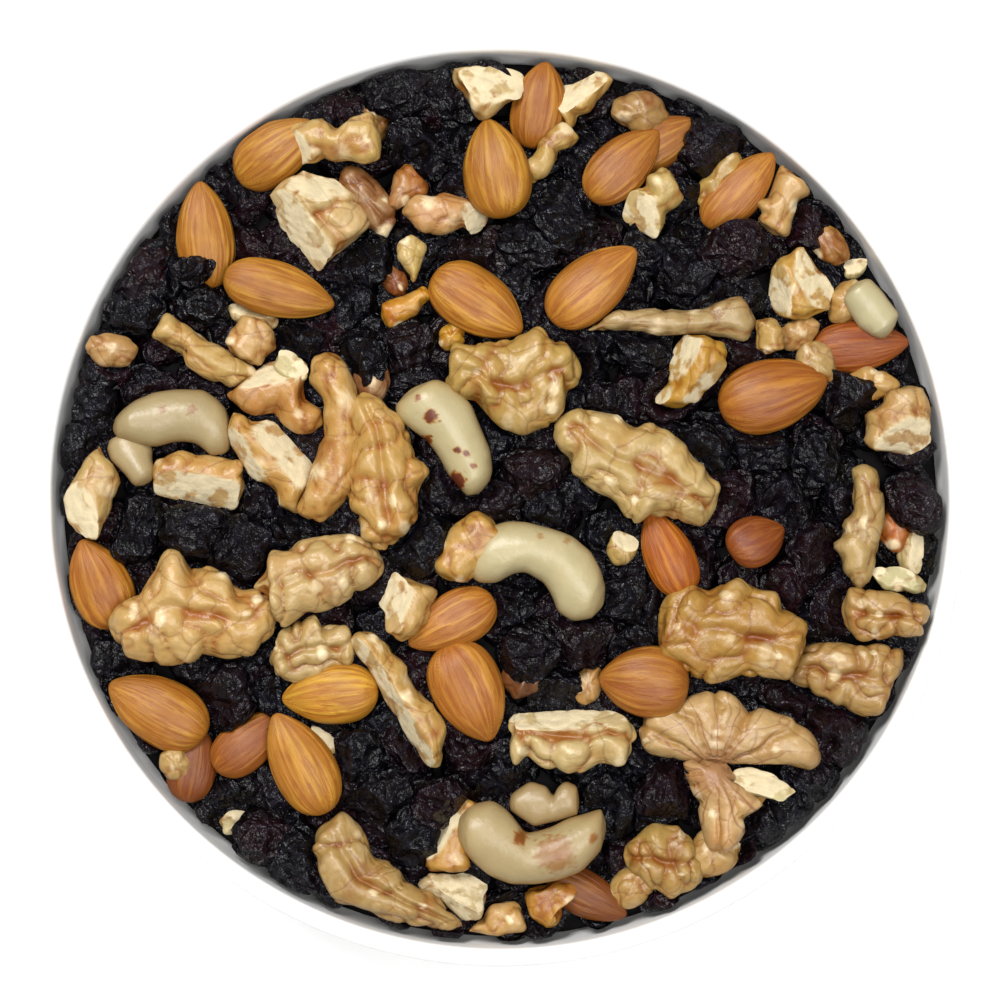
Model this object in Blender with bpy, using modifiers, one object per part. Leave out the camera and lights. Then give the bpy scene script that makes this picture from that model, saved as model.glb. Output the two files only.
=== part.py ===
"""A plain white bowl filled to the rim with trail mix: almonds, walnuts, cashews and dark raisins.

The bowl is a turned shell on a foot ring. The mix is one solid: a domed core that fills the bowl, with every
nut and raisin of the top fused on at its own size. Sizes below are in millimetres and degrees.
"""

import math
import random

import bmesh
import bpy
import numpy as np
from mathutils import Matrix, Vector

MM = 0.001

# The bowl
BOWL_HEIGHT = 60.0
RIM_RADIUS = 101.5  # inside the rim
WALL = 4.2
FLOOR_HEIGHT = 7.5  # top of the floor at the centre
CURVE_POWER = 2.4  # of the superellipse that shapes the wall: 2 is an ellipse, more is squarer
FOOT_RADIUS = 52.0
FOOT_WIDTH = 6.0
FOOT_RECESS = 2.5
OUTER_DEPTH = 58.7
TURN_STEPS = 48
WALL_POINTS = 9
RIM_TOP = BOWL_HEIGHT - WALL / 2  # where the wall ends and the rounded rim starts
INNER_DEPTH = RIM_TOP - FLOOR_HEIGHT

# The heap
HEAP_GAP = 0.5  # between the mix and the bowl
CROWN_HEIGHT = 59.0  # top of the core at the centre
EDGE_HEIGHT = 52.5  # top of the core at the wall
EDGE_RADIUS = 100.3  # nothing in the heap reaches past this
GRID_STEP = 1.0  # of the height map that the pieces are laid on

# Thickness of each kind, as a share of its width
THICKNESS = {
    "almond": 0.60,
    "half": 0.58,
    "strip": 0.85,
    "shard": 0.70,
    "lobe": 0.80,
    "cashew": 0.55,
    "knob": 0.7,  # a cashew's end, or a short piece of one
    "raisin": 0.78,
}
CASHEW_TUBE = 0.42  # a cashew's own thickness across its bend, as a share of its length

# How far a kind sinks between the pieces under it, and how far it leans with them
SETTLE = 2.6
LEAN = 0.6
MOST_LEAN = 20.0
TOUCH_SHARE = 0.75  # share of the cells under a piece that it clears
ROOT_DEPTH = 3.0  # how far the undersides of the pieces reach into the core
MOST_TRIANGLES = 11300

# The raisins that fill the gaps between the nuts
RAISIN_SPACING = 12.8
RAISIN_LENGTH = (13.5, 17.0)
RAISIN_ASPECT = 0.84
RAISIN_JITTER = 2.2
RAISIN_HIDDEN = 0.62  # a raisin covered more than this by the nuts above is left out
RAISIN_SINK = 5.0  # how much lower one would lie that is wholly covered
RAISIN_RING = 42  # raisins along the wall
SEED = 11

# The nuts, from the lowest to the highest: kind, x and y from the bowl's centre, turn of the long axis,
# length, width. An almond's tip and a cashew's left side point along the turn.
UNDER_THE_RAISINS = [
    ("almond", 36, 81, 30, 21, 11),
    ("almond", 82, 35, 5, 22, 11),
    ("almond", -57, -55, 40, 20, 11),
    ("almond", -70, -60, 80, 18, 10.5),
    ("almond", 9, 91, 80, 20, 12),
    ("almond", 20, -90, -28, 20, 10),
    ("lobe", -29, 27, 80, 12, 8),
    ("strip", -30, 68, -55, 19, 9),
    ("lobe", -24, 50, -60, 9, 6),
    ("lobe", -11, 37, 60, 7, 6),
    ("lobe", 32, 88, -10, 14, 10),
    ("strip", 50, 73, 55, 15, 7),
    ("lobe", 75, 58, -50, 12, 8),
    ("lobe", 79, 45, 60, 11, 9),
    ("lobe", 68, 38, 30, 10, 7),
    ("lobe", 72, 31, -60, 12, 9),
    ("strip", 83, 26, 5, 16, 8),
    ("lobe", 90, -6, 90, 12, 7.5),
    ("shard", 94, -11, 85, 14, 7),
    ("lobe", 49, -80, 40, 13, 11),
    ("lobe", 30, -88, 35, 12, 9),
    ("shard", -12, -77, 70, 20, 10),
    ("shard", 0, -93, 35, 13, 9),
    ("lobe", 11, -92, -50, 12, 9.5),
    ("lobe", 6, -40, 15, 12, 9),
    ("lobe", 20, -42, 70, 10, 6.5),
    ("lobe", -8, -10, 50, 16.5, 13),
    ("shard", -56, 42, -20, 12, 7),
    ("lobe", -74, -60, 120, 9, 7),
    ("lobe", -60, -73, 25, 9, 6),
    ("lobe", -40, -55, -60, 10, 6),
    ("lobe", -50, -67, 30, 7, 5),
    ("shard", -32, 91, -60, 9, 5),
    ("strip", -28, 88, 100, 12, 6.5),
]
OVER_THE_RAISINS = [
    ("lobe", -88, 34, -10, 12, 8),
    ("almond", -69, 62, 95, 24.5, 12.5),
    ("almond", -1, 75, 100, 23, 14.5),
    ("almond", -5, 44.5, -33, 24, 14),
    ("almond", 21, 48.5, 40, 25, 13.5),
    ("almond", 28, 76, 44, 22, 12),
    ("almond", 55, 71, 47, 22.5, 11),
    ("almond", 58, -9, 25, 14, 11),
    ("almond", -91, -19, 112, 21.5, 13.5),
    ("almond", -80, -49, 152, 25, 14.5),
    ("almond", -52, 81, 35, 22, 13),
    ("almond", 38, -12, 114, 21, 11),
    ("almond", -38.5, -44, 186, 22, 13),
    ("almond", -11, -27.5, 208, 22, 12),
    ("lobe", -56, 37, 60, 12, 10),
    ("half", -41, 64, -50, 24, 20),
    ("shard", -38, 80, 8, 24, 11.5),
    ("lobe", -21, 71, 60, 10, 8.5),
    ("shard", -12, 64.5, 3, 22, 10),
    ("lobe", -20, 55, 95, 12, 6),
    ("lobe", -21, 43.5, 18, 13, 9),
    ("lobe", 12, 79, 50, 16.5, 7),
    ("shard", -2, 91, 10, 17.5, 14),
    ("shard", 19, 90, 60, 18, 12),
    ("shard", 34, 67, 55, 16, 11),
    ("lobe", 63, 67, 62, 18, 10.5),
    ("lobe", 61, 37, 80, 9, 7),
    ("shard", 68, 48.5, 25, 18, 14.5),
    ("lobe", 82, 54, 60, 7, 5.5),
    ("knob", 85, 43.5, -60, 13.5, 11.5),
    ("strip", 39, 41, 4, 37, 8.5),
    ("shard", 43.5, 29, 75, 17.5, 12.5),
    ("shard", 90.5, 17, 90, 19, 15),
    ("strip", 82, -6, 87, 28, 10),
    ("half", 86, -25, -5, 20, 14),
    ("shard", 90, -18, -15, 14, 6),
    ("half", 79, -39, -15, 26, 14.5),
    ("half", 37, -82, 5, 18, 16),
    ("almond", 62, 24, 16, 25.5, 15.5),
    ("cashew", -13, 14, -56, 30, 15),
    ("half", 3, 27, 5, 30, 20.5),
    ("half", 31, 8, -28, 39, 18.5),
    ("lobe", 28, -10.5, 65, 9.5, 7),
    ("cashew", 9, -15.5, -24, 32, 19),
    ("half", 52.5, -30, -14, 35, 19),
    ("strip", 49.5, -70, 95, 24, 13),
    ("half", 51.5, -53, -12, 41, 17),
    ("almond", 32.5, -41, 175, 20.5, 15.5),
    ("half", 16, -54, -3, 29, 14.5),
    ("shard", -11, -88, 5, 15, 11.5),
    ("cashew", 10, -69, 0, 17, 9.5),
    ("cashew", 7, -79, 180, 34, 19),
    ("half", -26, -87, -41, 36, 16),
    ("strip", -65.5, 34.5, -32, 29, 10.5),
    ("shard", -50.5, 24.5, -25, 22, 13),
    ("lobe", -47, 30, -40, 9, 6.5),
    ("shard", -69, 4, -5, 22, 12),
    ("cashew", -74, 18, 5, 27.5, 14.5),
    ("knob", -84, 9.5, 110, 12.5, 10),
    ("strip", -38.5, 15, 94, 36, 12),
    ("shard", -52, 9, -50, 27, 13.5),
    ("half", -26.5, 7, -80, 35, 19),
    ("shard", -92, 1, 68, 23.5, 12.5),
    ("half", -69.5, -25.5, 0, 38, 21.5),
    ("half", -42, -34, 12, 19, 12.5),
    ("half", -40.5, -18, 8, 29.5, 18.5),
    ("shard", -22, -23, 100, 17, 14),
    ("strip", -22, -45, -58, 36, 10.5),
    ("almond", -7, -43.5, -66, 24, 15.5),
    ("almond", -45, -59.5, 118, 25.5, 13.5),
    ("almond", -50, 47.5, -15, 26, 12),
    ("lobe", 59, -64, -12, 15.5, 8),
    ("raisin", -82.5, -6, 80, 16, 11),
    ("raisin", -68, -8, -20, 17, 13),
    ("raisin", 7.5, 7, 15, 17, 12.5),
    ("raisin", -69, 52.5, 30, 11, 8),
    ("raisin", -68, 44.5, -10, 14, 10),
    ("raisin", 53.5, 57, 20, 17, 14),
    ("raisin", -21, 34.5, 10, 13, 11),
    ("raisin", -54, -76.5, 15, 14.5, 12),
]


# Outlines of the larger nuts as seen from above, by where they lie: points from the bowl's centre
OUTLINES = {
    (31, 8): ((19, 21), (15, 20), (12, 16), (14, 11), (17, 9), (16, 7), (19, 4), (24, 1), (27, -1),
        (29, -4), (31, -5), (33, -3), (37, -4), (40, -5), (43, -5), (46, -6), (48, -3), (49, 1), (49, 4),
        (46, 6), (46, 8), (42, 10), (42, 12), (40, 14), (38, 16), (35, 17), (32, 17), (30, 16), (28, 18),
        (25, 19), (21, 20)),
    (3, 27): ((-10, 35), (-11, 30), (-12, 26), (-11, 24), (-9, 23), (-6, 23), (-2, 21), (-3, 19), (1, 16),
        (5, 15), (8, 16), (11, 17), (12, 19), (14, 21), (13, 24), (16, 25), (18, 27), (18, 30), (16, 34),
        (14, 36), (12, 36), (10, 38), (8, 39), (5, 37), (2, 36), (-3, 36), (-7, 35)),
    (-26.5, 7): ((-29, 24), (-27, 23), (-25, 20), (-22, 18), (-21, 16), (-20, 13), (-19, 10), (-17, 8),
        (-16, 6), (-18, 4), (-18, 1), (-18, -3), (-20, -6), (-22, -9), (-25, -11), (-28, -11), (-31, -8),
        (-31, -5), (-33, -2), (-34, 0), (-35, 4), (-34, 10), (-34, 15), (-34, 22), (-32, 24)),
    (-38.5, 15): ((-38, 34), (-42, 32), (-43, 27), (-40, 23), (-40, 15), (-43, 7), (-44, 2), (-46, -2),
        (-43, -5), (-38, -5), (-37, -2), (-33, 3), (-31, 10), (-31, 22), (-35, 31)),
    (-40.5, -18): ((-35, -8), (-40, -8), (-44, -9), (-48, -11), (-52, -12), (-52, -14), (-51, -16),
        (-54, -18), (-55, -20), (-51, -21), (-50, -24), (-50, -28), (-48, -28), (-44, -26), (-40, -25),
        (-37, -24), (-33, -21), (-30, -19), (-26, -16), (-26, -14), (-28, -11), (-31, -9)),
    (-69.5, -25.5): ((-88, -27), (-86, -23), (-81, -21), (-80, -19), (-78, -16), (-76, -13), (-74, -11),
        (-72, -12), (-72, -15), (-67, -15), (-62, -17), (-60, -20), (-55, -20), (-52, -22), (-50, -26),
        (-51, -30), (-54, -32), (-57, -35), (-63, -36), (-66, -35), (-71, -37), (-76, -37), (-80, -36),
        (-84, -35), (-86, -32), (-88, -30)),
    (52.5, -30): ((37, -23), (38, -21), (44, -19), (48, -21), (50, -19), (54, -18), (57, -20), (62, -21),
        (63, -24), (66, -26), (69, -28), (69, -31), (69, -35), (66, -37), (65, -40), (60, -40), (53, -40),
        (47, -41), (42, -39), (37, -36), (36, -32)),
    (-42, -34): ((-52, -35), (-49, -30), (-46, -27), (-42, -26), (-41, -28), (-35, -28), (-33, -31),
        (-33, -35), (-35, -38), (-38, -38), (-41, -40), (-46, -41), (-50, -40), (-52, -37)),
    (51.5, -53): ((31, -53), (32, -50), (34, -48), (35, -45), (38, -44), (41, -45), (44, -44), (47, -43),
        (51, -43), (54, -45), (55, -48), (58, -47), (60, -47), (62, -48), (66, -49), (70, -52), (72, -55),
        (73, -58), (72, -61), (70, -62), (65, -61), (60, -60), (52, -60), (45, -60), (40, -59), (35, -58),
        (33, -57)),
    (49.5, -70): ((41, -59), (42, -63), (44, -68), (45, -73), (46, -77), (48, -80), (50, -81), (53, -78),
        (54, -77), (56, -74), (57, -70), (61, -68), (58, -66), (54, -63), (51, -59), (46, -58)),
    (59, -64): ((51, -63), (53, -61), (57, -60), (61, -61), (64, -63), (67, -65), (65, -67), (63, -68),
        (57, -67), (54, -66)),
    (16, -54): ((2, -49), (4, -46), (8, -46), (13, -46), (18, -46), (20, -47), (23, -48), (25, -47),
        (28, -49), (30, -51), (31, -53), (30, -56), (28, -59), (26, -60), (23, -59), (20, -60), (18, -62),
        (16, -62), (13, -61), (10, -60), (7, -58), (5, -57), (4, -60), (3, -58), (3, -55), (2, -52)),
    (-22, -45): ((-34, -31), (-31, -29), (-28, -30), (-25, -33), (-23, -36), (-21, -38), (-22, -40),
        (-20, -41), (-19, -43), (-17, -45), (-14, -47), (-12, -51), (-13, -54), (-13, -57), (-14, -60),
        (-17, -60), (-19, -57), (-22, -53), (-24, -49), (-26, -46), (-27, -43), (-29, -39), (-31, -37),
        (-33, -34)),
    (-26, -87): ((-43, -81), (-41, -76), (-39, -73), (-37, -72), (-35, -73), (-32, -76), (-30, -80),
        (-29, -83), (-25, -84), (-22, -87), (-18, -90), (-15, -91), (-11, -95), (-8, -98), (-12, -99),
        (-20, -98), (-30, -95), (-38, -92), (-40, -89), (-42, -86), (-41, -83)),
    (-69, 4): ((-79, 4), (-78, 9), (-72, 11), (-65, 10), (-59, 9), (-58, 3), (-61, -3), (-66, -3),
        (-72, -1), (-78, 1)),
    (-92, 1): ((-99, 1), (-97, 4), (-94, 9), (-91, 13), (-90, 10), (-88, 8), (-86, 4), (-87, 1), (-89, -5),
        (-91, -9), (-94, -9), (-97, -7), (-99, -5)),
    (-22, -23): ((-24, -16), (-21, -18), (-15, -21), (-16, -26), (-19, -30), (-23, -32), (-26, -29),
        (-26, -25), (-29, -23), (-29, -19), (-26, -16)),
    (-8, -10): ((-15, -16), (-16, -14), (-13, -9), (-11, -6), (-8, -4), (-6, -3), (-3, -3), (-1, -5),
        (1, -9), (-1, -14), (-7, -18), (-12, -18)),
    (-52, 9): ((-61, 15), (-61, 17), (-60, 20), (-57, 19), (-55, 17), (-52, 18), (-48, 16), (-45, 13),
        (-41, 11), (-42, 8), (-44, 3), (-45, 0), (-44, -3), (-47, -3), (-50, -1), (-51, 2), (-54, 4),
        (-57, 5), (-58, 8), (-61, 11)),
    (-50.5, 24.5): ((-62, 23), (-59, 26), (-55, 29), (-53, 31), (-50, 34), (-46, 32), (-44, 30), (-45, 26),
        (-44, 23), (-40, 20), (-40, 17), (-43, 15), (-46, 15), (-49, 17), (-51, 20), (-55, 19), (-58, 20)),
    (-65.5, 34.5): ((-79, 37), (-77, 39), (-76, 43), (-73, 41), (-70, 39), (-66, 36), (-62, 34), (-57, 31),
        (-54, 28), (-61, 26), (-65, 27), (-68, 28), (-71, 30), (-72, 33), (-76, 35)),
    (-56, 37): ((-62, 36), (-61, 39), (-59, 41), (-55, 41), (-52, 40), (-51, 37), (-51, 34), (-54, 31),
        (-58, 31), (-61, 33)),
    (-41, 64): ((-52, 69), (-49, 69), (-48, 72), (-46, 73), (-44, 75), (-41, 73), (-37, 72), (-35, 70),
        (-33, 69), (-30, 64), (-31, 61), (-34, 58), (-37, 55), (-41, 52), (-43, 52), (-46, 55), (-48, 57),
        (-50, 60), (-50, 63), (-51, 67)),
    (-38, 80): ((-50, 80), (-48, 82), (-46, 85), (-43, 86), (-40, 86), (-38, 84), (-36, 84), (-33, 86),
        (-29, 87), (-27, 85), (-27, 82), (-26, 79), (-27, 76), (-30, 75), (-33, 76), (-36, 76), (-38, 76),
        (-40, 78), (-42, 76), (-45, 76), (-47, 75), (-49, 77)),
    (-21, 71): ((-24, 74), (-22, 76), (-20, 76), (-19, 74), (-17, 71), (-17, 69), (-20, 68), (-23, 66),
        (-26, 66), (-25, 70)),
    (-12, 64.5): ((-22, 66), (-20, 68), (-18, 69), (-15, 69), (-13, 70), (-10, 69), (-7, 68), (-6, 67),
        (-3, 67), (-1, 66), (-1, 63), (-3, 61), (-6, 60), (-8, 62), (-10, 61), (-13, 60), (-16, 60),
        (-18, 61), (-20, 63), (-22, 64)),
    (-20, 55): ((-23, 57), (-21, 60), (-19, 60), (-17, 57), (-18, 54), (-19, 50), (-20, 49), (-21, 52),
        (-23, 55)),
    (-21, 43.5): ((-27, 42), (-26, 45), (-23, 46), (-20, 47), (-18, 48), (-15, 47), (-15, 45), (-18, 44),
        (-19, 42), (-22, 40), (-24, 39), (-26, 40)),
    (12, 79): ((6, 74), (6, 77), (8, 79), (9, 82), (11, 84), (14, 86), (16, 85), (18, 82), (16, 80),
        (13, 79), (13, 77), (11, 74), (8, 72), (7, 72)),
    (-2, 91): ((-11, 98), (-10, 94), (-8, 92), (-6, 90), (-5, 87), (-3, 86), (-1, 88), (1, 90), (4, 91),
        (6, 94), (5, 98), (0, 99)),
    (19, 90): ((12, 98), (12, 92), (14, 88), (15, 85), (17, 85), (18, 88), (21, 89), (24, 93), (26, 96),
        (20, 98)),
    (34, 67): ((27, 62), (27, 65), (29, 69), (31, 70), (33, 70), (33, 73), (36, 75), (38, 75), (40, 71),
        (41, 68), (40, 66), (38, 65), (37, 62), (35, 60), (31, 61), (28, 61)),
    (63, 67): ((63, 75), (64, 77), (66, 75), (69, 72), (70, 70), (68, 68), (67, 65), (66, 61), (64, 60),
        (62, 61), (60, 63), (59, 65), (60, 66), (59, 68), (61, 69), (62, 72)),
    (68, 48.5): ((60, 45), (62, 49), (62, 52), (64, 55), (66, 56), (68, 57), (70, 55), (71, 52), (73, 51),
        (76, 49), (77, 48), (75, 45), (74, 43), (70, 41), (67, 41), (64, 42), (62, 44)),
    (39, 41): ((20, 38), (21, 39), (23, 41), (27, 43), (31, 43), (38, 43), (46, 43), (49, 45), (52, 46),
        (55, 46), (56, 44), (57, 42), (58, 40), (57, 37), (55, 36), (52, 37), (44, 37), (38, 37), (30, 38),
        (25, 38)),
    (43.5, 29): ((38, 34), (38, 26), (35, 23), (38, 21), (40, 21), (45, 23), (46, 25), (48, 26), (51, 30),
        (51, 33), (50, 36), (45, 37), (40, 37)),
    (61, 37): ((58, 38), (58, 40), (60, 41), (62, 41), (64, 38), (64, 35), (60, 33), (58, 35)),
    (90.5, 17): ((83, 19), (86, 21), (88, 24), (92, 26), (96, 26), (98, 20), (98, 14), (98, 9), (96, 7),
        (94, 8), (93, 11), (89, 11), (85, 12), (83, 14)),
    (82, -6): ((82, 8), (85, 7), (86, 4), (87, 0), (87, -5), (86, -9), (85, -14), (84, -18), (82, -20),
        (80, -19), (78, -16), (77, -12), (76, -10), (78, -9), (78, -5), (80, -4), (80, 1), (80, 4),
        (80, 7)),
    (86, -25): ((80, -20), (78, -23), (78, -27), (80, -30), (82, -32), (85, -32), (90, -31), (95, -30),
        (97, -24), (94, -23), (89, -21), (83, -20)),
    (79, -39): ((66, -38), (67, -41), (70, -43), (73, -45), (75, -46), (77, -47), (79, -46), (80, -48),
        (83, -49), (87, -48), (91, -40), (92, -34), (85, -33), (75, -32), (70, -34)),
    (37, -82): ((28, -81), (29, -78), (32, -76), (35, -74), (40, -74), (42, -76), (44, -79), (46, -82),
        (45, -86), (42, -89), (39, -90), (35, -88), (33, -86), (30, -84)),
    (-12, -77): ((-9, -66), (-7, -68), (-5, -70), (-7, -74), (-7, -79), (-7, -83), (-10, -84), (-15, -84),
        (-17, -84), (-17, -80), (-15, -75), (-13, -72), (-11, -69)),
    (-11, -88): ((-19, -87), (-16, -85), (-11, -85), (-8, -84), (-5, -84), (-3, -86), (-4, -92), (-5, -95),
        (-8, -96), (-10, -94), (-12, -92), (-15, -90), (-18, -89)),
    (0, -93): ((-7, -98), (-5, -96), (-2, -93), (2, -92), (4, -92), (5, -95), (5, -98), (0, -99)),
    (11, -92): ((6, -91), (6, -89), (9, -88), (11, -88), (13, -87), (17, -87), (18, -88), (16, -90),
        (13, -91), (14, -94), (12, -97), (10, -97), (7, -95)),
    (85, 43.5): ((79, 45), (80, 48), (82, 50), (85, 50), (88, 47), (91, 43), (90, 40), (88, 37), (85, 38),
        (82, 40), (80, 43)),
    (-13, 14): ((-23, 18.5), (-23.5, 21), (-21.5, 24), (-18, 26), (-14, 27), (-10, 25), (-6.5, 21.5),
        (-4.5, 16.5), (-2.5, 11.5), (-2, 7), (-3, 4), (-5, 1.5), (-7.5, 1), (-9.5, 3), (-11.5, 5.5),
        (-13, 8.5), (-15, 11.5), (-17, 14), (-20.5, 16.5)),
    (9, -15.5): ((-7, -14), (-5.5, -10), (-2.5, -6.5), (2, -5), (6.5, -5), (11.5, -6.5), (16, -8),
        (20, -11.5), (22.5, -15.5), (23.5, -21), (22.5, -25), (20, -26.5), (16, -27), (13.5, -25.5),
        (12.5, -22.5), (10.5, -19), (7, -17), (5, -16), (2, -16.5), (-1, -18.5), (-5, -18.5), (-7, -16.5)),
    (7, -79): ((-10, -76), (-9, -72), (-6, -69), (-2, -68), (1, -70), (3.5, -73), (5, -75.5), (6.5, -75.5),
        (9, -75), (12, -74), (16, -72), (20, -71), (23, -70), (24, -72), (24, -76), (22, -80), (18, -84),
        (13, -86), (8, -87), (3, -87), (-2, -85), (-6, -82)),
    (10, -69): ((2, -68), (4, -66), (7, -64), (10, -65), (12, -68), (13, -68), (13, -66), (15, -64),
        (17, -65), (18, -68), (18, -71), (15, -72), (12, -73), (8, -74), (5, -72), (2, -70)),
    (-74, 18): ((-87.5, 14.5), (-87.5, 17.5), (-85, 20.5), (-82, 23), (-78, 24.5), (-73, 25), (-68, 25),
        (-64.5, 23), (-62, 20), (-61, 17), (-61, 13), (-62.5, 10.5), (-65, 10), (-66.5, 11.5), (-68.5, 13),
        (-71.5, 13.5), (-75, 13), (-78, 12), (-83, 13)),
    (-84, 9.5): ((-89, 11), (-88.5, 13.5), (-87, 14.5), (-84, 15), (-81, 14), (-79, 12), (-79, 10),
        (-78.5, 7), (-79, 5), (-81.5, 3), (-83.5, 4), (-85, 6), (-87, 8), (-88.5, 9.5)),
}


def superellipse(radius, depth, top, share):
    """A point of the wall's curve: share 0 is at the rim and share 1 at the axis."""
    angle = share * math.pi / 2
    across = radius * math.cos(angle) ** (2 / CURVE_POWER)
    down = depth * math.sin(angle) ** (2 / CURVE_POWER)
    return across, top - down


def share_at_radius(radius, target):
    """Where on the wall's curve its radius is the target."""
    return math.acos((target / radius) ** (CURVE_POWER / 2)) / (math.pi / 2)


def turned(name, profile, steps=TURN_STEPS):
    """A closed solid from a profile that starts and ends on the axis."""
    mesh = bpy.data.meshes.new(name)
    points = [(x * MM, 0, z * MM) for x, z in profile]
    mesh.from_pydata(points, [(i, i + 1) for i in range(len(points) - 1)], [])
    made = bpy.data.objects.new(name, mesh)
    screw = made.modifiers.new("turn", "SCREW")
    screw.axis = "Z"
    screw.steps = steps
    screw.render_steps = steps
    screw.use_merge_vertices = True
    screw.merge_threshold = 0.00001
    screw.use_smooth_shade = True
    return made


def inner_wall():
    """The bowl's inside, from the floor's centre up to where the rounded rim starts: heights and radii."""
    curve = [
        superellipse(RIM_RADIUS, INNER_DEPTH, RIM_TOP, 1 - i / WALL_POINTS) for i in range(WALL_POINTS + 1)
    ]
    return [height for _, height in curve], [across for across, _ in curve]


INNER_WALL = inner_wall()


def bowl_profile():
    """Across the floor, up the inside, over the rounded rim, down the outside and round the foot."""
    inside = [(across, height) for height, across in zip(*INNER_WALL)][:-1]
    rim = [
        (
            RIM_RADIUS + WALL / 2 - WALL / 2 * math.cos(math.pi * i / 4),
            RIM_TOP + WALL / 2 * math.sin(math.pi * i / 4),
        )
        for i in range(5)
    ]
    outer_radius = RIM_RADIUS + WALL
    outer_depth = OUTER_DEPTH - WALL / 2
    last = share_at_radius(outer_radius, FOOT_RADIUS)
    outside = [
        superellipse(outer_radius, outer_depth, RIM_TOP, last * i / WALL_POINTS)
        for i in range(1, WALL_POINTS + 1)
    ]
    foot_inside = FOOT_RADIUS - FOOT_WIDTH
    foot = [
        (FOOT_RADIUS, 0.0),
        (foot_inside, 0.0),
        (foot_inside, FOOT_RECESS),
        (0.0, FOOT_RECESS),
    ]
    return inside + rim + outside + foot


def surface_height(across):
    """Height of the core's top at a distance from the axis."""
    return CROWN_HEIGHT - (CROWN_HEIGHT - EDGE_HEIGHT) * (across / EDGE_RADIUS) ** 2


def core_profile():
    """The bare core: its domed top from the axis outwards, then down along the bowl's wall to the floor."""
    edge = EDGE_RADIUS - 1.2
    dome = [(edge * i / 3, surface_height(edge * i / 3)) for i in range(4)]
    wall = [
        (max(0.0, across - HEAP_GAP), height + HEAP_GAP)
        for height, across in zip(*INNER_WALL)
        if height < EDGE_HEIGHT - 2
    ]
    return dome + wall[::-1]


class HeightMap:
    """The height of the heap over a grid. Each piece is laid on what is already there."""

    def __init__(self):
        side = np.arange(-EDGE_RADIUS, EDGE_RADIUS + GRID_STEP, GRID_STEP)
        self.x, self.y = np.meshgrid(side, side)
        self.height = surface_height(np.hypot(self.x, self.y))

    def surfaces(self, x, y, turning, radii):
        """The cells that a turned ellipsoid covers, and its underside and top there from its own centre."""
        axes = np.array(turning)
        form = axes @ np.diag(1 / np.square(radii)) @ axes.T
        dx, dy = self.x - x, self.y - y
        lean = form[0, 2] * dx + form[1, 2] * dy
        flat = form[0, 0] * dx**2 + 2 * form[0, 1] * dx * dy + form[1, 1] * dy**2 - 1
        root = lean**2 - form[2, 2] * flat
        covered = root > 0
        root = np.sqrt(root[covered])
        return covered, (-lean[covered] - root) / form[2, 2], (-lean[covered] + root) / form[2, 2]

    def slope(self, x, y, turn, radii):
        """The way the heap slopes under a piece, as a rotation that leans the piece with it."""
        covered, _, _ = self.surfaces(x, y, Matrix.Rotation(turn, 3, "Z"), radii)
        dx, dy = self.x[covered] - x, self.y[covered] - y
        table = np.column_stack([dx, dy, np.ones_like(dx)])
        (rise_x, rise_y, _), *_ = np.linalg.lstsq(table, self.height[covered], rcond=None)
        steep = math.hypot(rise_x, rise_y)
        angle = min(LEAN * math.atan(steep), math.radians(MOST_LEAN))
        axis = Vector((-rise_y, rise_x, 0)) if steep > 1e-6 else Vector((1, 0, 0))
        return Matrix.Rotation(-angle, 3, -axis.normalized())

    def lay(self, x, y, turn, radii, settle):
        """Lowers a piece onto the heap. Returns its rotation and its centre."""
        upright = Matrix.Rotation(turn, 3, "Z")
        turning = self.slope(x, y, turn, radii) @ upright
        covered, under, top = self.surfaces(x, y, turning, radii)
        centre = float(np.quantile(self.height[covered] - under, TOUCH_SHARE)) - settle
        self.height[covered] = np.maximum(self.height[covered], centre + top)
        return turning, Vector((x, y, centre))

    def flat_cover(self, x, y, turn, radii):
        """The cells under a piece that lies flat."""
        return self.surfaces(x, y, Matrix.Rotation(turn, 3, "Z"), radii)[0]


def kept_inside(x, y, turn, length, width):
    """Moves a piece that would reach past the wall straight in towards the axis."""
    for _ in range(4):
        reach = 0.0
        for i in range(24):
            angle = 2 * math.pi * i / 24
            along, across = length / 2 * math.cos(angle), width / 2 * math.sin(angle)
            edge_x = x + along * math.cos(turn) - across * math.sin(turn)
            edge_y = y + along * math.sin(turn) + across * math.cos(turn)
            reach = max(reach, math.hypot(edge_x, edge_y))
        if reach <= EDGE_RADIUS:
            break
        share = 1 - (reach - EDGE_RADIUS) / math.hypot(x, y)
        x, y = x * share, y * share
    return x, y


def covered_by(heap, nuts):
    """The cells under any of these nuts."""
    hidden = np.zeros_like(heap.x, bool)
    for kind, x, y, turn, length, width in nuts:
        hidden |= heap.flat_cover(x, y, math.radians(turn), (length / 2, width / 2, width / 2))
    return hidden


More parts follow.
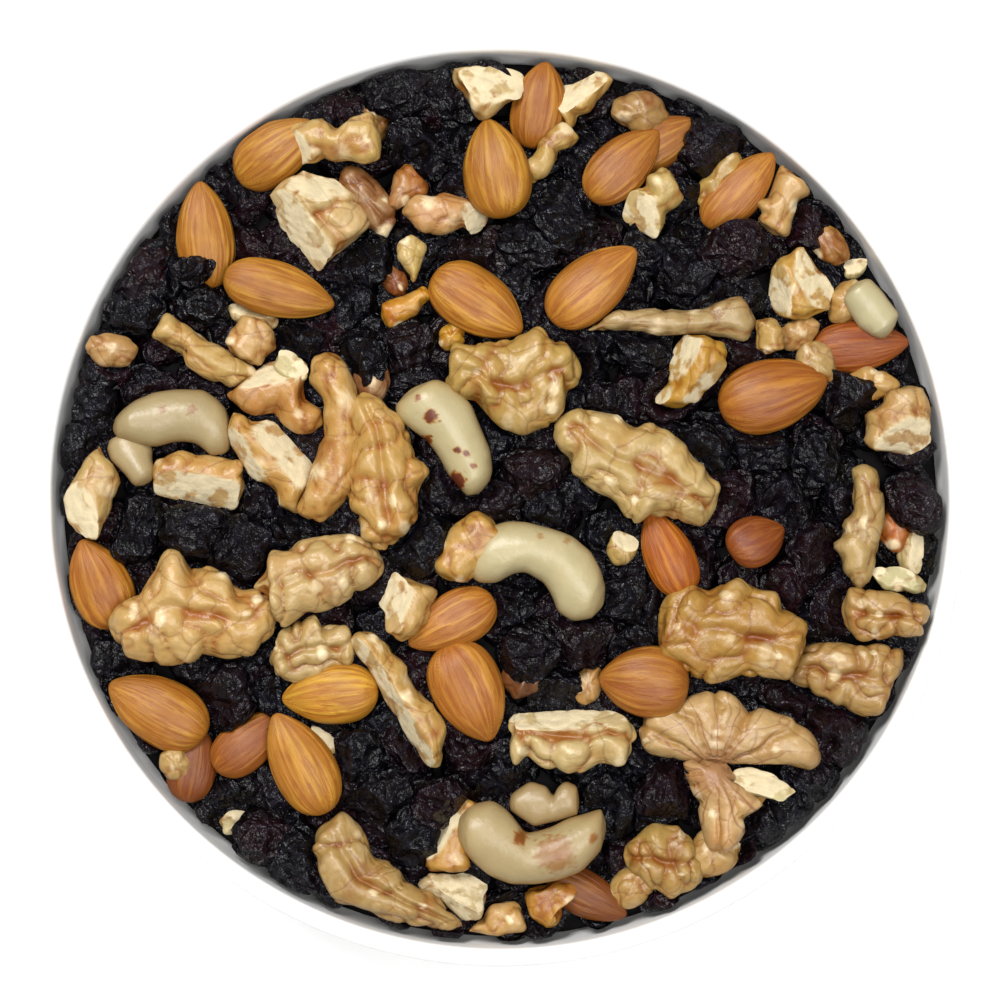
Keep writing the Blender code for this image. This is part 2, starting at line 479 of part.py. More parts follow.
def raisin_spots(heap):
    """Raisins on a jittered grid and along the wall, without those that would hide a nut or be hidden."""
    above = covered_by(heap, OVER_THE_RAISINS)
    nuts = above | covered_by(heap, UNDER_THE_RAISINS)
    draw = random.Random(SEED)
    tries = []
    for i in range(RAISIN_RING):
        angle = 2 * math.pi * (i + draw.uniform(-0.2, 0.2)) / RAISIN_RING
        reach = EDGE_RADIUS - 6.5 + draw.uniform(-1, 1)
        turn = math.degrees(angle) + 90 + draw.uniform(-25, 25)
        tries.append((reach * math.cos(angle), reach * math.sin(angle), turn, draw.uniform(*RAISIN_LENGTH)))
    row_gap = RAISIN_SPACING * math.sqrt(3) / 2
    rows = int(EDGE_RADIUS / row_gap) + 1
    for row in range(-rows, rows + 1):
        for column in range(-rows, rows + 1):
            x = (column + 0.5 * (row % 2)) * RAISIN_SPACING + draw.uniform(-RAISIN_JITTER, RAISIN_JITTER)
            y = row * row_gap + draw.uniform(-RAISIN_JITTER, RAISIN_JITTER)
            turn = draw.uniform(0, 180)
            length = draw.uniform(*RAISIN_LENGTH)
            if math.hypot(x, y) < EDGE_RADIUS - 17:
                tries.append((x, y, turn, length))
    spots = []
    for x, y, turn, length in tries:
        width = length * RAISIN_ASPECT
        x, y = kept_inside(x, y, math.radians(turn), length, width)
        covered = heap.flat_cover(x, y, math.radians(turn), (length / 2, width / 2, width / 2))
        if nuts[covered].mean() < RAISIN_HIDDEN:
            spots.append(("raisin", x, y, turn, length, width, RAISIN_SINK * above[covered].mean()))
    return spots


def laid_pieces():
    """Every piece of the heap's top in the order it is laid: kind, rotation, centre, size and outline."""
    heap = HeightMap()
    order = UNDER_THE_RAISINS + raisin_spots(heap) + OVER_THE_RAISINS
    laid = []
    for kind, x, y, turn, length, width, *sink in order:
        turn = math.radians(turn)
        cuts = sections(OUTLINES.get((x, y)), x, y, turn)
        x, y = kept_inside(x, y, turn, length, width)
        radii = (length / 2, width / 2, thickness(kind, length, width) / 2)
        turning, centre = heap.lay(x, y, turn, radii, SETTLE + sum(sink))
        laid.append((kind, turning, centre, length, width, cuts))
    return laid


def sections(outline, x, y, turn):
    """An outline cut across at stations along the piece: where they are, their middles and halves."""
    if outline is None:
        return None
    corners = np.array(outline) - (x, y)
    corners = corners @ np.array(((math.cos(turn), -math.sin(turn)), (math.sin(turn), math.cos(turn))))
    steps = np.linspace(0, 1, 12, endpoint=False)[:, None, None]
    edge = (corners + (np.roll(corners, -1, axis=0) - corners) * steps).reshape(-1, 2)
    first, last = edge[:, 0].min(), edge[:, 0].max()
    stations = np.linspace(first, last, 25)
    near = np.abs(edge[:, 0] - stations[:, None]) < max(0.9, (last - first) / 40)
    high = np.where(near, edge[:, 1], -np.inf).max(axis=1)
    low = np.where(near, edge[:, 1], np.inf).min(axis=1)
    return stations, (high + low) / 2, (high - low) / 2


def thickness(kind, length, width):
    """How thick a piece is. A cashew's follows the size of its tube and not of its bend."""
    if kind == "cashew":
        return min(width, CASHEW_TUBE * length) * 0.85
    return THICKNESS[kind] * width


def almond_form(point, length, width, thick):
    """Blunt at one end and pointed at the other, +X."""
    taper = 1.07 - 0.24 * point.x - 0.16 * max(0.0, point.x) ** 2
    return Vector((point.x * length / 2, point.y * taper * width / 2, point.z * taper * thick / 2))


def walnut_form(point, length, width, thick, lobe):
    """A long body with a lobed edge, squarer than an ellipse, and a shallow groove along its back."""
    groove = 1 - 0.2 * math.exp(-((point.y / 0.25) ** 2))
    square = 1.06 - 0.12 * abs(point.x)
    reach = 1 + 0.08 * lobe
    return Vector(
        (
            point.x * reach * length / 2,
            point.y * reach * square * width / 2,
            point.z * groove * thick / 2,
        )
    )


def cashew_form(point, length, width, thick):
    """A tube bent into a crescent with its hollow side at -Y."""
    tube = min(width, CASHEW_TUBE * length)
    rise = max(width - tube, 0.2)
    chord = length - 0.75 * tube
    radius = (chord**2 / 4 + rise**2) / (2 * rise)
    half_bend = math.asin(min(1.0, chord / 2 / radius))
    angle = point.x * half_bend * (1 + 0.35 * tube / chord)
    out = radius + point.y * (1 + 0.25 * (1 - abs(point.x))) * tube / 2
    along = out * math.sin(angle)
    across = out * math.cos(angle) - radius + rise / 2
    return Vector((along, across, point.z * 1.1 * thick / 2))


def raisin_form(point, length, width, thick):
    return Vector((point.x * length / 2, point.y * 1.05 * width / 2, point.z * 1.05 * thick / 2))


def inside_wall(point):
    """Presses a point in from the bowl's wall and up from its floor, if it lies too near."""
    z = max(point.z, FLOOR_HEIGHT + HEAP_GAP)
    facet = math.cos(math.pi / TURN_STEPS)  # the wall's flat facets stand in from its circle by this share
    limit = min(EDGE_RADIUS, float(np.interp(z, *INNER_WALL)) * facet - HEAP_GAP)
    reach = math.hypot(point.x, point.y)
    if reach > limit:
        return Vector((point.x * limit / reach, point.y * limit / reach, z))
    return Vector((point.x, point.y, z))


# Sides of each kind seen from above, and rings from its top to its edge
SIDES = {
    "almond": (9, 2),
    "half": (14, 3),
    "strip": (10, 2),
    "shard": (10, 2),
    "lobe": (8, 2),
    "cashew": (12, 2),
    "knob": (8, 2),
    "raisin": (7, 2),
}
OUTLINE_SIDES = 4  # more for a piece with an outline of its own


def outlined_form(point, width, thick, cuts):
    """A body that fills its outline, oval in section, thinner where it is narrow and rounded at its ends."""
    stations, middles, halves = cuts
    along = stations[0] + (stations[-1] - stations[0]) * (point.x + 1) / 2
    section = math.sqrt(max(0.0, 1 - point.x**2))
    reach = float(np.interp(along, stations, halves)) * min(1.0, section / 0.35)
    rise = thick / 2 * min(1.0, reach / (0.3 * width)) ** 0.6 * math.sqrt(max(0.0, 1 - point.x**8))
    share = 1 / section if section > 1e-4 else 0.0
    middle = float(np.interp(along, stations, middles))
    return Vector((along, middle + point.y * share * reach, point.z * share * rise))


def formed(kind, point, length, width, lobe, cuts):
    """A point of the unit sphere, moved to where it lies on a piece of this kind."""
    thick = thickness(kind, length, width)
    if cuts:
        return outlined_form(point, width, thick, cuts)
    if kind == "almond":
        return almond_form(point, length, width, thick)
    if kind == "cashew":
        return cashew_form(point, length, width, thick)
    if kind == "raisin":
        return raisin_form(point, length, width, thick)
    return walnut_form(point, length, width, thick, lobe)


def piece(kind, turning, centre, length, width, cuts):
    """The upper half of one nut or raisin in its place, drawn straight down from its edge into the core."""
    sides, rings = SIDES[kind]
    sides += OUTLINE_SIDES if cuts else 0
    shape = bmesh.new()
    bmesh.ops.create_uvsphere(shape, u_segments=sides, v_segments=2 * rings, radius=1)
    lower_half = [vertex for vertex in shape.verts if vertex.co.z < -0.01]
    bmesh.ops.delete(shape, geom=lower_half, context="VERTS")
    for vertex in shape.verts:
        side = round(math.atan2(vertex.co.y, vertex.co.x) / (2 * math.pi / sides))
        lobe = 0 if vertex.co.z > 0.99 else 1 if side % 2 else -1
        place = turning @ formed(kind, vertex.co, length, width, lobe, cuts) + centre
        vertex.co = inside_wall(place) * MM
    edge = [side for side in shape.edges if side.is_boundary]
    skirt = bmesh.ops.extrude_edge_only(shape, edges=edge)["geom"]
    for vertex in skirt:
        if isinstance(vertex, bmesh.types.BMVert):
            x, y = vertex.co.x / MM, vertex.co.y / MM
            root = Vector((x, y, surface_height(math.hypot(x, y)) - ROOT_DEPTH))
            vertex.co = inside_wall(root) * MM
    bmesh.ops.holes_fill(shape, edges=[side for side in shape.edges if side.is_boundary])
    bmesh.ops.recalc_face_normals(shape, faces=shape.faces)
    mesh = bpy.data.meshes.new(kind)
    shape.to_mesh(mesh)
    shape.free()
    return bpy.data.objects.new(kind, mesh)


def material(name, colour, roughness):
    made = bpy.data.materials.new(name)
    made.use_nodes = True
    shader = made.node_tree.nodes["Principled BSDF"]
    shader.inputs["Base Color"].default_value = (*colour, 1)
    shader.inputs["Roughness"].default_value = roughness
    shader.inputs["Metallic"].default_value = 0.0
    return made


def applied(obj):
    """Turns the object's modifiers into its mesh."""
    bpy.context.view_layer.update()
    graph = bpy.context.evaluated_depsgraph_get()
    mesh = bpy.data.meshes.new_from_object(obj.evaluated_get(graph))
    obj.modifiers.clear()
    obj.data = mesh


def joined(core, loose):
    """Fuses the loose pieces onto the core, then thins out the crowded triangles along their seams."""
    union = core.modifiers.new("fuse", "BOOLEAN")
    union.operation = "UNION"
    union.operand_type = "COLLECTION"
    union.collection = loose
    union.solver = "MANIFOLD"
    applied(core)
    for obj in list(loose.objects):
        bpy.data.objects.remove(obj)
    bpy.data.collections.remove(loose)
    keep_largest(core)
    thin = core.modifiers.new("thin", "DECIMATE")
    thin.ratio = MOST_TRIANGLES / sum(len(face.vertices) - 2 for face in core.data.polygons)
    applied(core)
    keep_largest(core)
    for vertex in core.data.vertices:
        vertex.co = inside_wall(vertex.co / MM) * MM


def keep_largest(obj):
    """Deletes every connected body of the mesh but the largest: loose scraps and the walls of hollows."""
    shape = bmesh.new()
    shape.from_mesh(obj.data)
    waiting = set(shape.verts)
    bodies = []
    while waiting:
        body = set()
        edge = [waiting.pop()]
        while edge:
            vertex = edge.pop()
            body.add(vertex)
            for side in vertex.link_edges:
                other = side.other_vert(vertex)
                if other in waiting:
                    waiting.discard(other)
                    edge.append(other)
        bodies.append(body)
    largest = max(bodies, key=len)
    scraps = [vertex for body in bodies if body is not largest for vertex in body]
    bmesh.ops.delete(shape, geom=scraps, context="VERTS")
    bmesh.ops.triangulate(shape, faces=shape.faces)
    shape.to_mesh(obj.data)
    shape.free()


def main():
    for obj in list(bpy.data.objects):
        bpy.data.objects.remove(obj)
    parts = bpy.data.collections.new("bowl_of_trail_mix")
    loose = bpy.data.collections.new("loose_pieces")
    bpy.context.scene.collection.children.link(parts)
    bpy.context.scene.collection.children.link(loose)

    bowl = turned("bowl", bowl_profile())
    bowl.data.materials.append(material("white_glaze", (0.86, 0.86, 0.84), 0.2))
    parts.objects.link(bowl)

    heap = turned("trail_mix", core_profile())
    parts.objects.link(heap)
    for laid in laid_pieces():
        loose.objects.link(piece(*laid))
    joined(heap, loose)
    heap.data.materials.clear()
    heap.data.materials.append(material("nuts_and_raisins", (0.35, 0.2, 0.1), 0.5))


main()
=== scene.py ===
import math
import random

import bmesh
import bpy
import numpy as np
from mathutils import Matrix, Vector


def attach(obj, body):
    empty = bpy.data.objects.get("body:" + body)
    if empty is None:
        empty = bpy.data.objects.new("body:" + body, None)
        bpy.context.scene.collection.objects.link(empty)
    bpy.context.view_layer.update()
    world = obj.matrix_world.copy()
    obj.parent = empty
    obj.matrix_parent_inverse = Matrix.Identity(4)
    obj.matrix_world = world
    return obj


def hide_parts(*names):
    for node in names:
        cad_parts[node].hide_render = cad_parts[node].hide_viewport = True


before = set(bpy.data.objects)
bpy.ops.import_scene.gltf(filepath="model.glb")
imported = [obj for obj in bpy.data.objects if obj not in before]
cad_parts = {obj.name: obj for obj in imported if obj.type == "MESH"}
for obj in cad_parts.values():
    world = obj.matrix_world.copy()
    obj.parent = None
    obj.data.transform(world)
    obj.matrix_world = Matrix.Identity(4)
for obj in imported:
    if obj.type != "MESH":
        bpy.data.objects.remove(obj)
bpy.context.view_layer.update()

# Trail mix in a plain white bowl, seen from straight above.
# The nuts and raisins are laid on a height map by the same rule as in the solids, so both lie alike.

mm = 0.001


def srgb(red, green, blue):  # screen colour, 0 to 255, as the shader wants it
    parts = [value / 255 for value in (red, green, blue)]
    return tuple(part / 12.92 if part <= 0.04045 else ((part + 0.055) / 1.055) ** 2.4 for part in parts)


# smooth noise over many points at once

def noiseAt(points, seed):  # gradient noise, about -0.7 to 0.7
    cell = np.floor(points)
    inside = points - cell
    fade = inside**3 * (inside * (inside * 6 - 15) + 10)
    cell = cell.astype(np.int64)
    total = np.zeros(len(points))
    for corner in ((0, 0, 0), (1, 0, 0), (0, 1, 0), (1, 1, 0), (0, 0, 1), (1, 0, 1), (0, 1, 1), (1, 1, 1)):
        key = (cell + corner) @ np.array((73856093, 19349663, 83492791)) + seed * 7919
        weight = np.ones(len(points))
        slope = np.zeros(len(points))
        for axis in range(3):
            key = (key * 1103515245 + 12345 + axis) & 0x7FFFFFFF
            mixed = (key ^ (key >> 11)) & 0xFFFF
            slope += (mixed / 32767.5 - 1) * (inside[:, axis] - corner[axis])
            weight *= fade[:, axis] if corner[axis] else 1 - fade[:, axis]
        total += slope * weight
    return total


def foldsAt(points, seed):  # rounded swellings between sharp creases, 0 in a crease and 1 on top
    return np.sqrt(1 - (1 - np.clip(np.abs(noiseAt(points, seed)) * 2.6, 0, 1)) ** 2)


def ridgesAt(points, seed):  # sharp ridges that wander, 1 on a ridge
    return 1 - np.clip(np.abs(noiseAt(points, seed)) * 2.8, 0, 1)


def eased(values, low, high):
    share = np.clip((values - low) / (high - low), 0, 1)
    return share * share * (3 - 2 * share)


# where everything lies

bowlSize = {
    "height": 60.0, "rimRadius": 101.5, "wall": 4.2, "floorHeight": 7.5, "curvePower": 2.4,
    "footRadius": 52.0, "footWidth": 6.0, "footRecess": 2.5, "footRound": 0.7, "outerDepth": 58.7,
}
rimTop = bowlSize["height"] - bowlSize["wall"] / 2
innerDepth = rimTop - bowlSize["floorHeight"]
heap = {
    "crown": 59.0, "edge": 52.5, "edgeRadius": 100.3, "wallGap": 1.0, "gridStep": 1.0,
    "settle": 2.6, "lean": 0.6, "mostLean": 20.0, "touchShare": 0.75,
    "raisinSpacing": 12.8, "raisinLength": (13.5, 17.0), "raisinAspect": 0.84, "raisinJitter": 2.2,
    "raisinHidden": 0.62, "raisinSink": 5.0, "raisinRing": 42, "seed": 11,
    "thickness": {"almond": 0.60, "half": 0.58, "strip": 0.85, "shard": 0.70, "lobe": 0.80, "knob": 0.70,
                  "raisin": 0.78},
    "cashewTube": 0.42,
}

# kind, x and y in mm from the bowl's centre, turn of the long axis, length, width
underRaisins = [
    ("almond", 36, 81, 30, 21, 11),
    ("almond", 82, 35, 5, 22, 11),
    ("almond", -57, -55, 40, 20, 11),
    ("almond", -70, -60, 80, 18, 10.5),
    ("almond", 9, 91, 80, 20, 12),
    ("almond", 20, -90, -28, 20, 10),
    ("lobe", -29, 27, 80, 12, 8),
    ("strip", -30, 68, -55, 19, 9),
    ("lobe", -24, 50, -60, 9, 6),
    ("lobe", -11, 37, 60, 7, 6),
    ("lobe", 32, 88, -10, 14, 10),
    ("strip", 50, 73, 55, 15, 7),
    ("lobe", 75, 58, -50, 12, 8),
    ("lobe", 79, 45, 60, 11, 9),
    ("lobe", 68, 38, 30, 10, 7),
    ("lobe", 72, 31, -60, 12, 9),
    ("strip", 83, 26, 5, 16, 8),
    ("lobe", 90, -6, 90, 12, 7.5),
    ("shard", 94, -11, 85, 14, 7),
    ("lobe", 49, -80, 40, 13, 11),
    ("lobe", 30, -88, 35, 12, 9),
    ("shard", -12, -77, 70, 20, 10),
    ("shard", 0, -93, 35, 13, 9),
    ("lobe", 11, -92, -50, 12, 9.5),
    ("lobe", 6, -40, 15, 12, 9),
    ("lobe", 20, -42, 70, 10, 6.5),
    ("lobe", -8, -10, 50, 16.5, 13),
    ("shard", -56, 42, -20, 12, 7),
    ("lobe", -74, -60, 120, 9, 7),
    ("lobe", -60, -73, 25, 9, 6),
    ("lobe", -40, -55, -60, 10, 6),
    ("lobe", -50, -67, 30, 7, 5),
    ("shard", -32, 91, -60, 9, 5),
    ("strip", -28, 88, 100, 12, 6.5),
]
overRaisins = [
    ("lobe", -88, 34, -10, 12, 8),
    ("almond", -69, 62, 95, 24.5, 12.5),
    ("almond", -1, 75, 100, 23, 14.5),
    ("almond", -5, 44.5, -33, 24, 14),
    ("almond", 21, 48.5, 40, 25, 13.5),
    ("almond", 28, 76, 44, 22, 12),
    ("almond", 55, 71, 47, 22.5, 11),
    ("almond", 58, -9, 25, 14, 11),
    ("almond", -91, -19, 112, 21.5, 13.5),
    ("almond", -80, -49, 152, 25, 14.5),
    ("almond", -52, 81, 35, 22, 13),
    ("almond", 38, -12, 114, 21, 11),
    ("almond", -38.5, -44, 186, 22, 13),
    ("almond", -11, -27.5, 208, 22, 12),
    ("lobe", -56, 37, 60, 12, 10),
    ("half", -41, 64, -50, 24, 20),
    ("shard", -38, 80, 8, 24, 11.5),
    ("lobe", -21, 71, 60, 10, 8.5),
    ("shard", -12, 64.5, 3, 22, 10),
    ("lobe", -20, 55, 95, 12, 6),
    ("lobe", -21, 43.5, 18, 13, 9),
    ("lobe", 12, 79, 50, 16.5, 7),
    ("shard", -2, 91, 10, 17.5, 14),
    ("shard", 19, 90, 60, 18, 12),
    ("shard", 34, 67, 55, 16, 11),
    ("lobe", 63, 67, 62, 18, 10.5),
    ("lobe", 61, 37, 80, 9, 7),
    ("shard", 68, 48.5, 25, 18, 14.5),
    ("lobe", 82, 54, 60, 7, 5.5),
    ("knob", 85, 43.5, -60, 13.5, 11.5),
    ("strip", 39, 41, 4, 37, 8.5),
    ("shard", 43.5, 29, 75, 17.5, 12.5),
    ("shard", 90.5, 17, 90, 19, 15),
    ("strip", 82, -6, 87, 28, 10),
    ("half", 86, -25, -5, 20, 14),
    ("shard", 90, -18, -15, 14, 6),
    ("half", 79, -39, -15, 26, 14.5),
    ("half", 37, -82, 5, 18, 16),
    ("almond", 62, 24, 16, 25.5, 15.5),
    ("cashew", -13, 14, -56, 30, 15),
    ("half", 3, 27, 5, 30, 20.5),
    ("half", 31, 8, -28, 39, 18.5),
    ("lobe", 28, -10.5, 65, 9.5, 7),
    ("cashew", 9, -15.5, -24, 32, 19),
    ("half", 52.5, -30, -14, 35, 19),
    ("strip", 49.5, -70, 95, 24, 13),
    ("half", 51.5, -53, -12, 41, 17),
    ("almond", 32.5, -41, 175, 20.5, 15.5),
    ("half", 16, -54, -3, 29, 14.5),
    ("shard", -11, -88, 5, 15, 11.5),
    ("cashew", 10, -69, 0, 17, 9.5),
    ("cashew", 7, -79, 180, 34, 19),
    ("half", -26, -87, -41, 36, 16),
    ("strip", -65.5, 34.5, -32, 29, 10.5),
    ("shard", -50.5, 24.5, -25, 22, 13),
    ("lobe", -47, 30, -40, 9, 6.5),
    ("shard", -69, 4, -5, 22, 12),
    ("cashew", -74, 18, 5, 27.5, 14.5),
    ("knob", -84, 9.5, 110, 12.5, 10),
    ("strip", -38.5, 15, 94, 36, 12),
    ("shard", -52, 9, -50, 27, 13.5),
    ("half", -26.5, 7, -80, 35, 19),
    ("shard", -92, 1, 68, 23.5, 12.5),
    ("half", -69.5, -25.5, 0, 38, 21.5),
    ("half", -42, -34, 12, 19, 12.5),
    ("half", -40.5, -18, 8, 29.5, 18.5),
    ("shard", -22, -23, 100, 17, 14),
    ("strip", -22, -45, -58, 36, 10.5),
    ("almond", -7, -43.5, -66, 24, 15.5),
    ("almond", -45, -59.5, 118, 25.5, 13.5),
    ("almond", -50, 47.5, -15, 26, 12),
    ("lobe", 59, -64, -12, 15.5, 8),
    ("raisin", -82.5, -6, 80, 16, 11),
    ("raisin", -68, -8, -20, 17, 13),
    ("raisin", 7.5, 7, 15, 17, 12.5),
    ("raisin", -69, 52.5, 30, 11, 8),
    ("raisin", -68, 44.5, -10, 14, 10),
    ("raisin", 53.5, 57, 20, 17, 14),
    ("raisin", -21, 34.5, 10, 13, 11),
    ("raisin", -54, -76.5, 15, 14.5, 12),
]

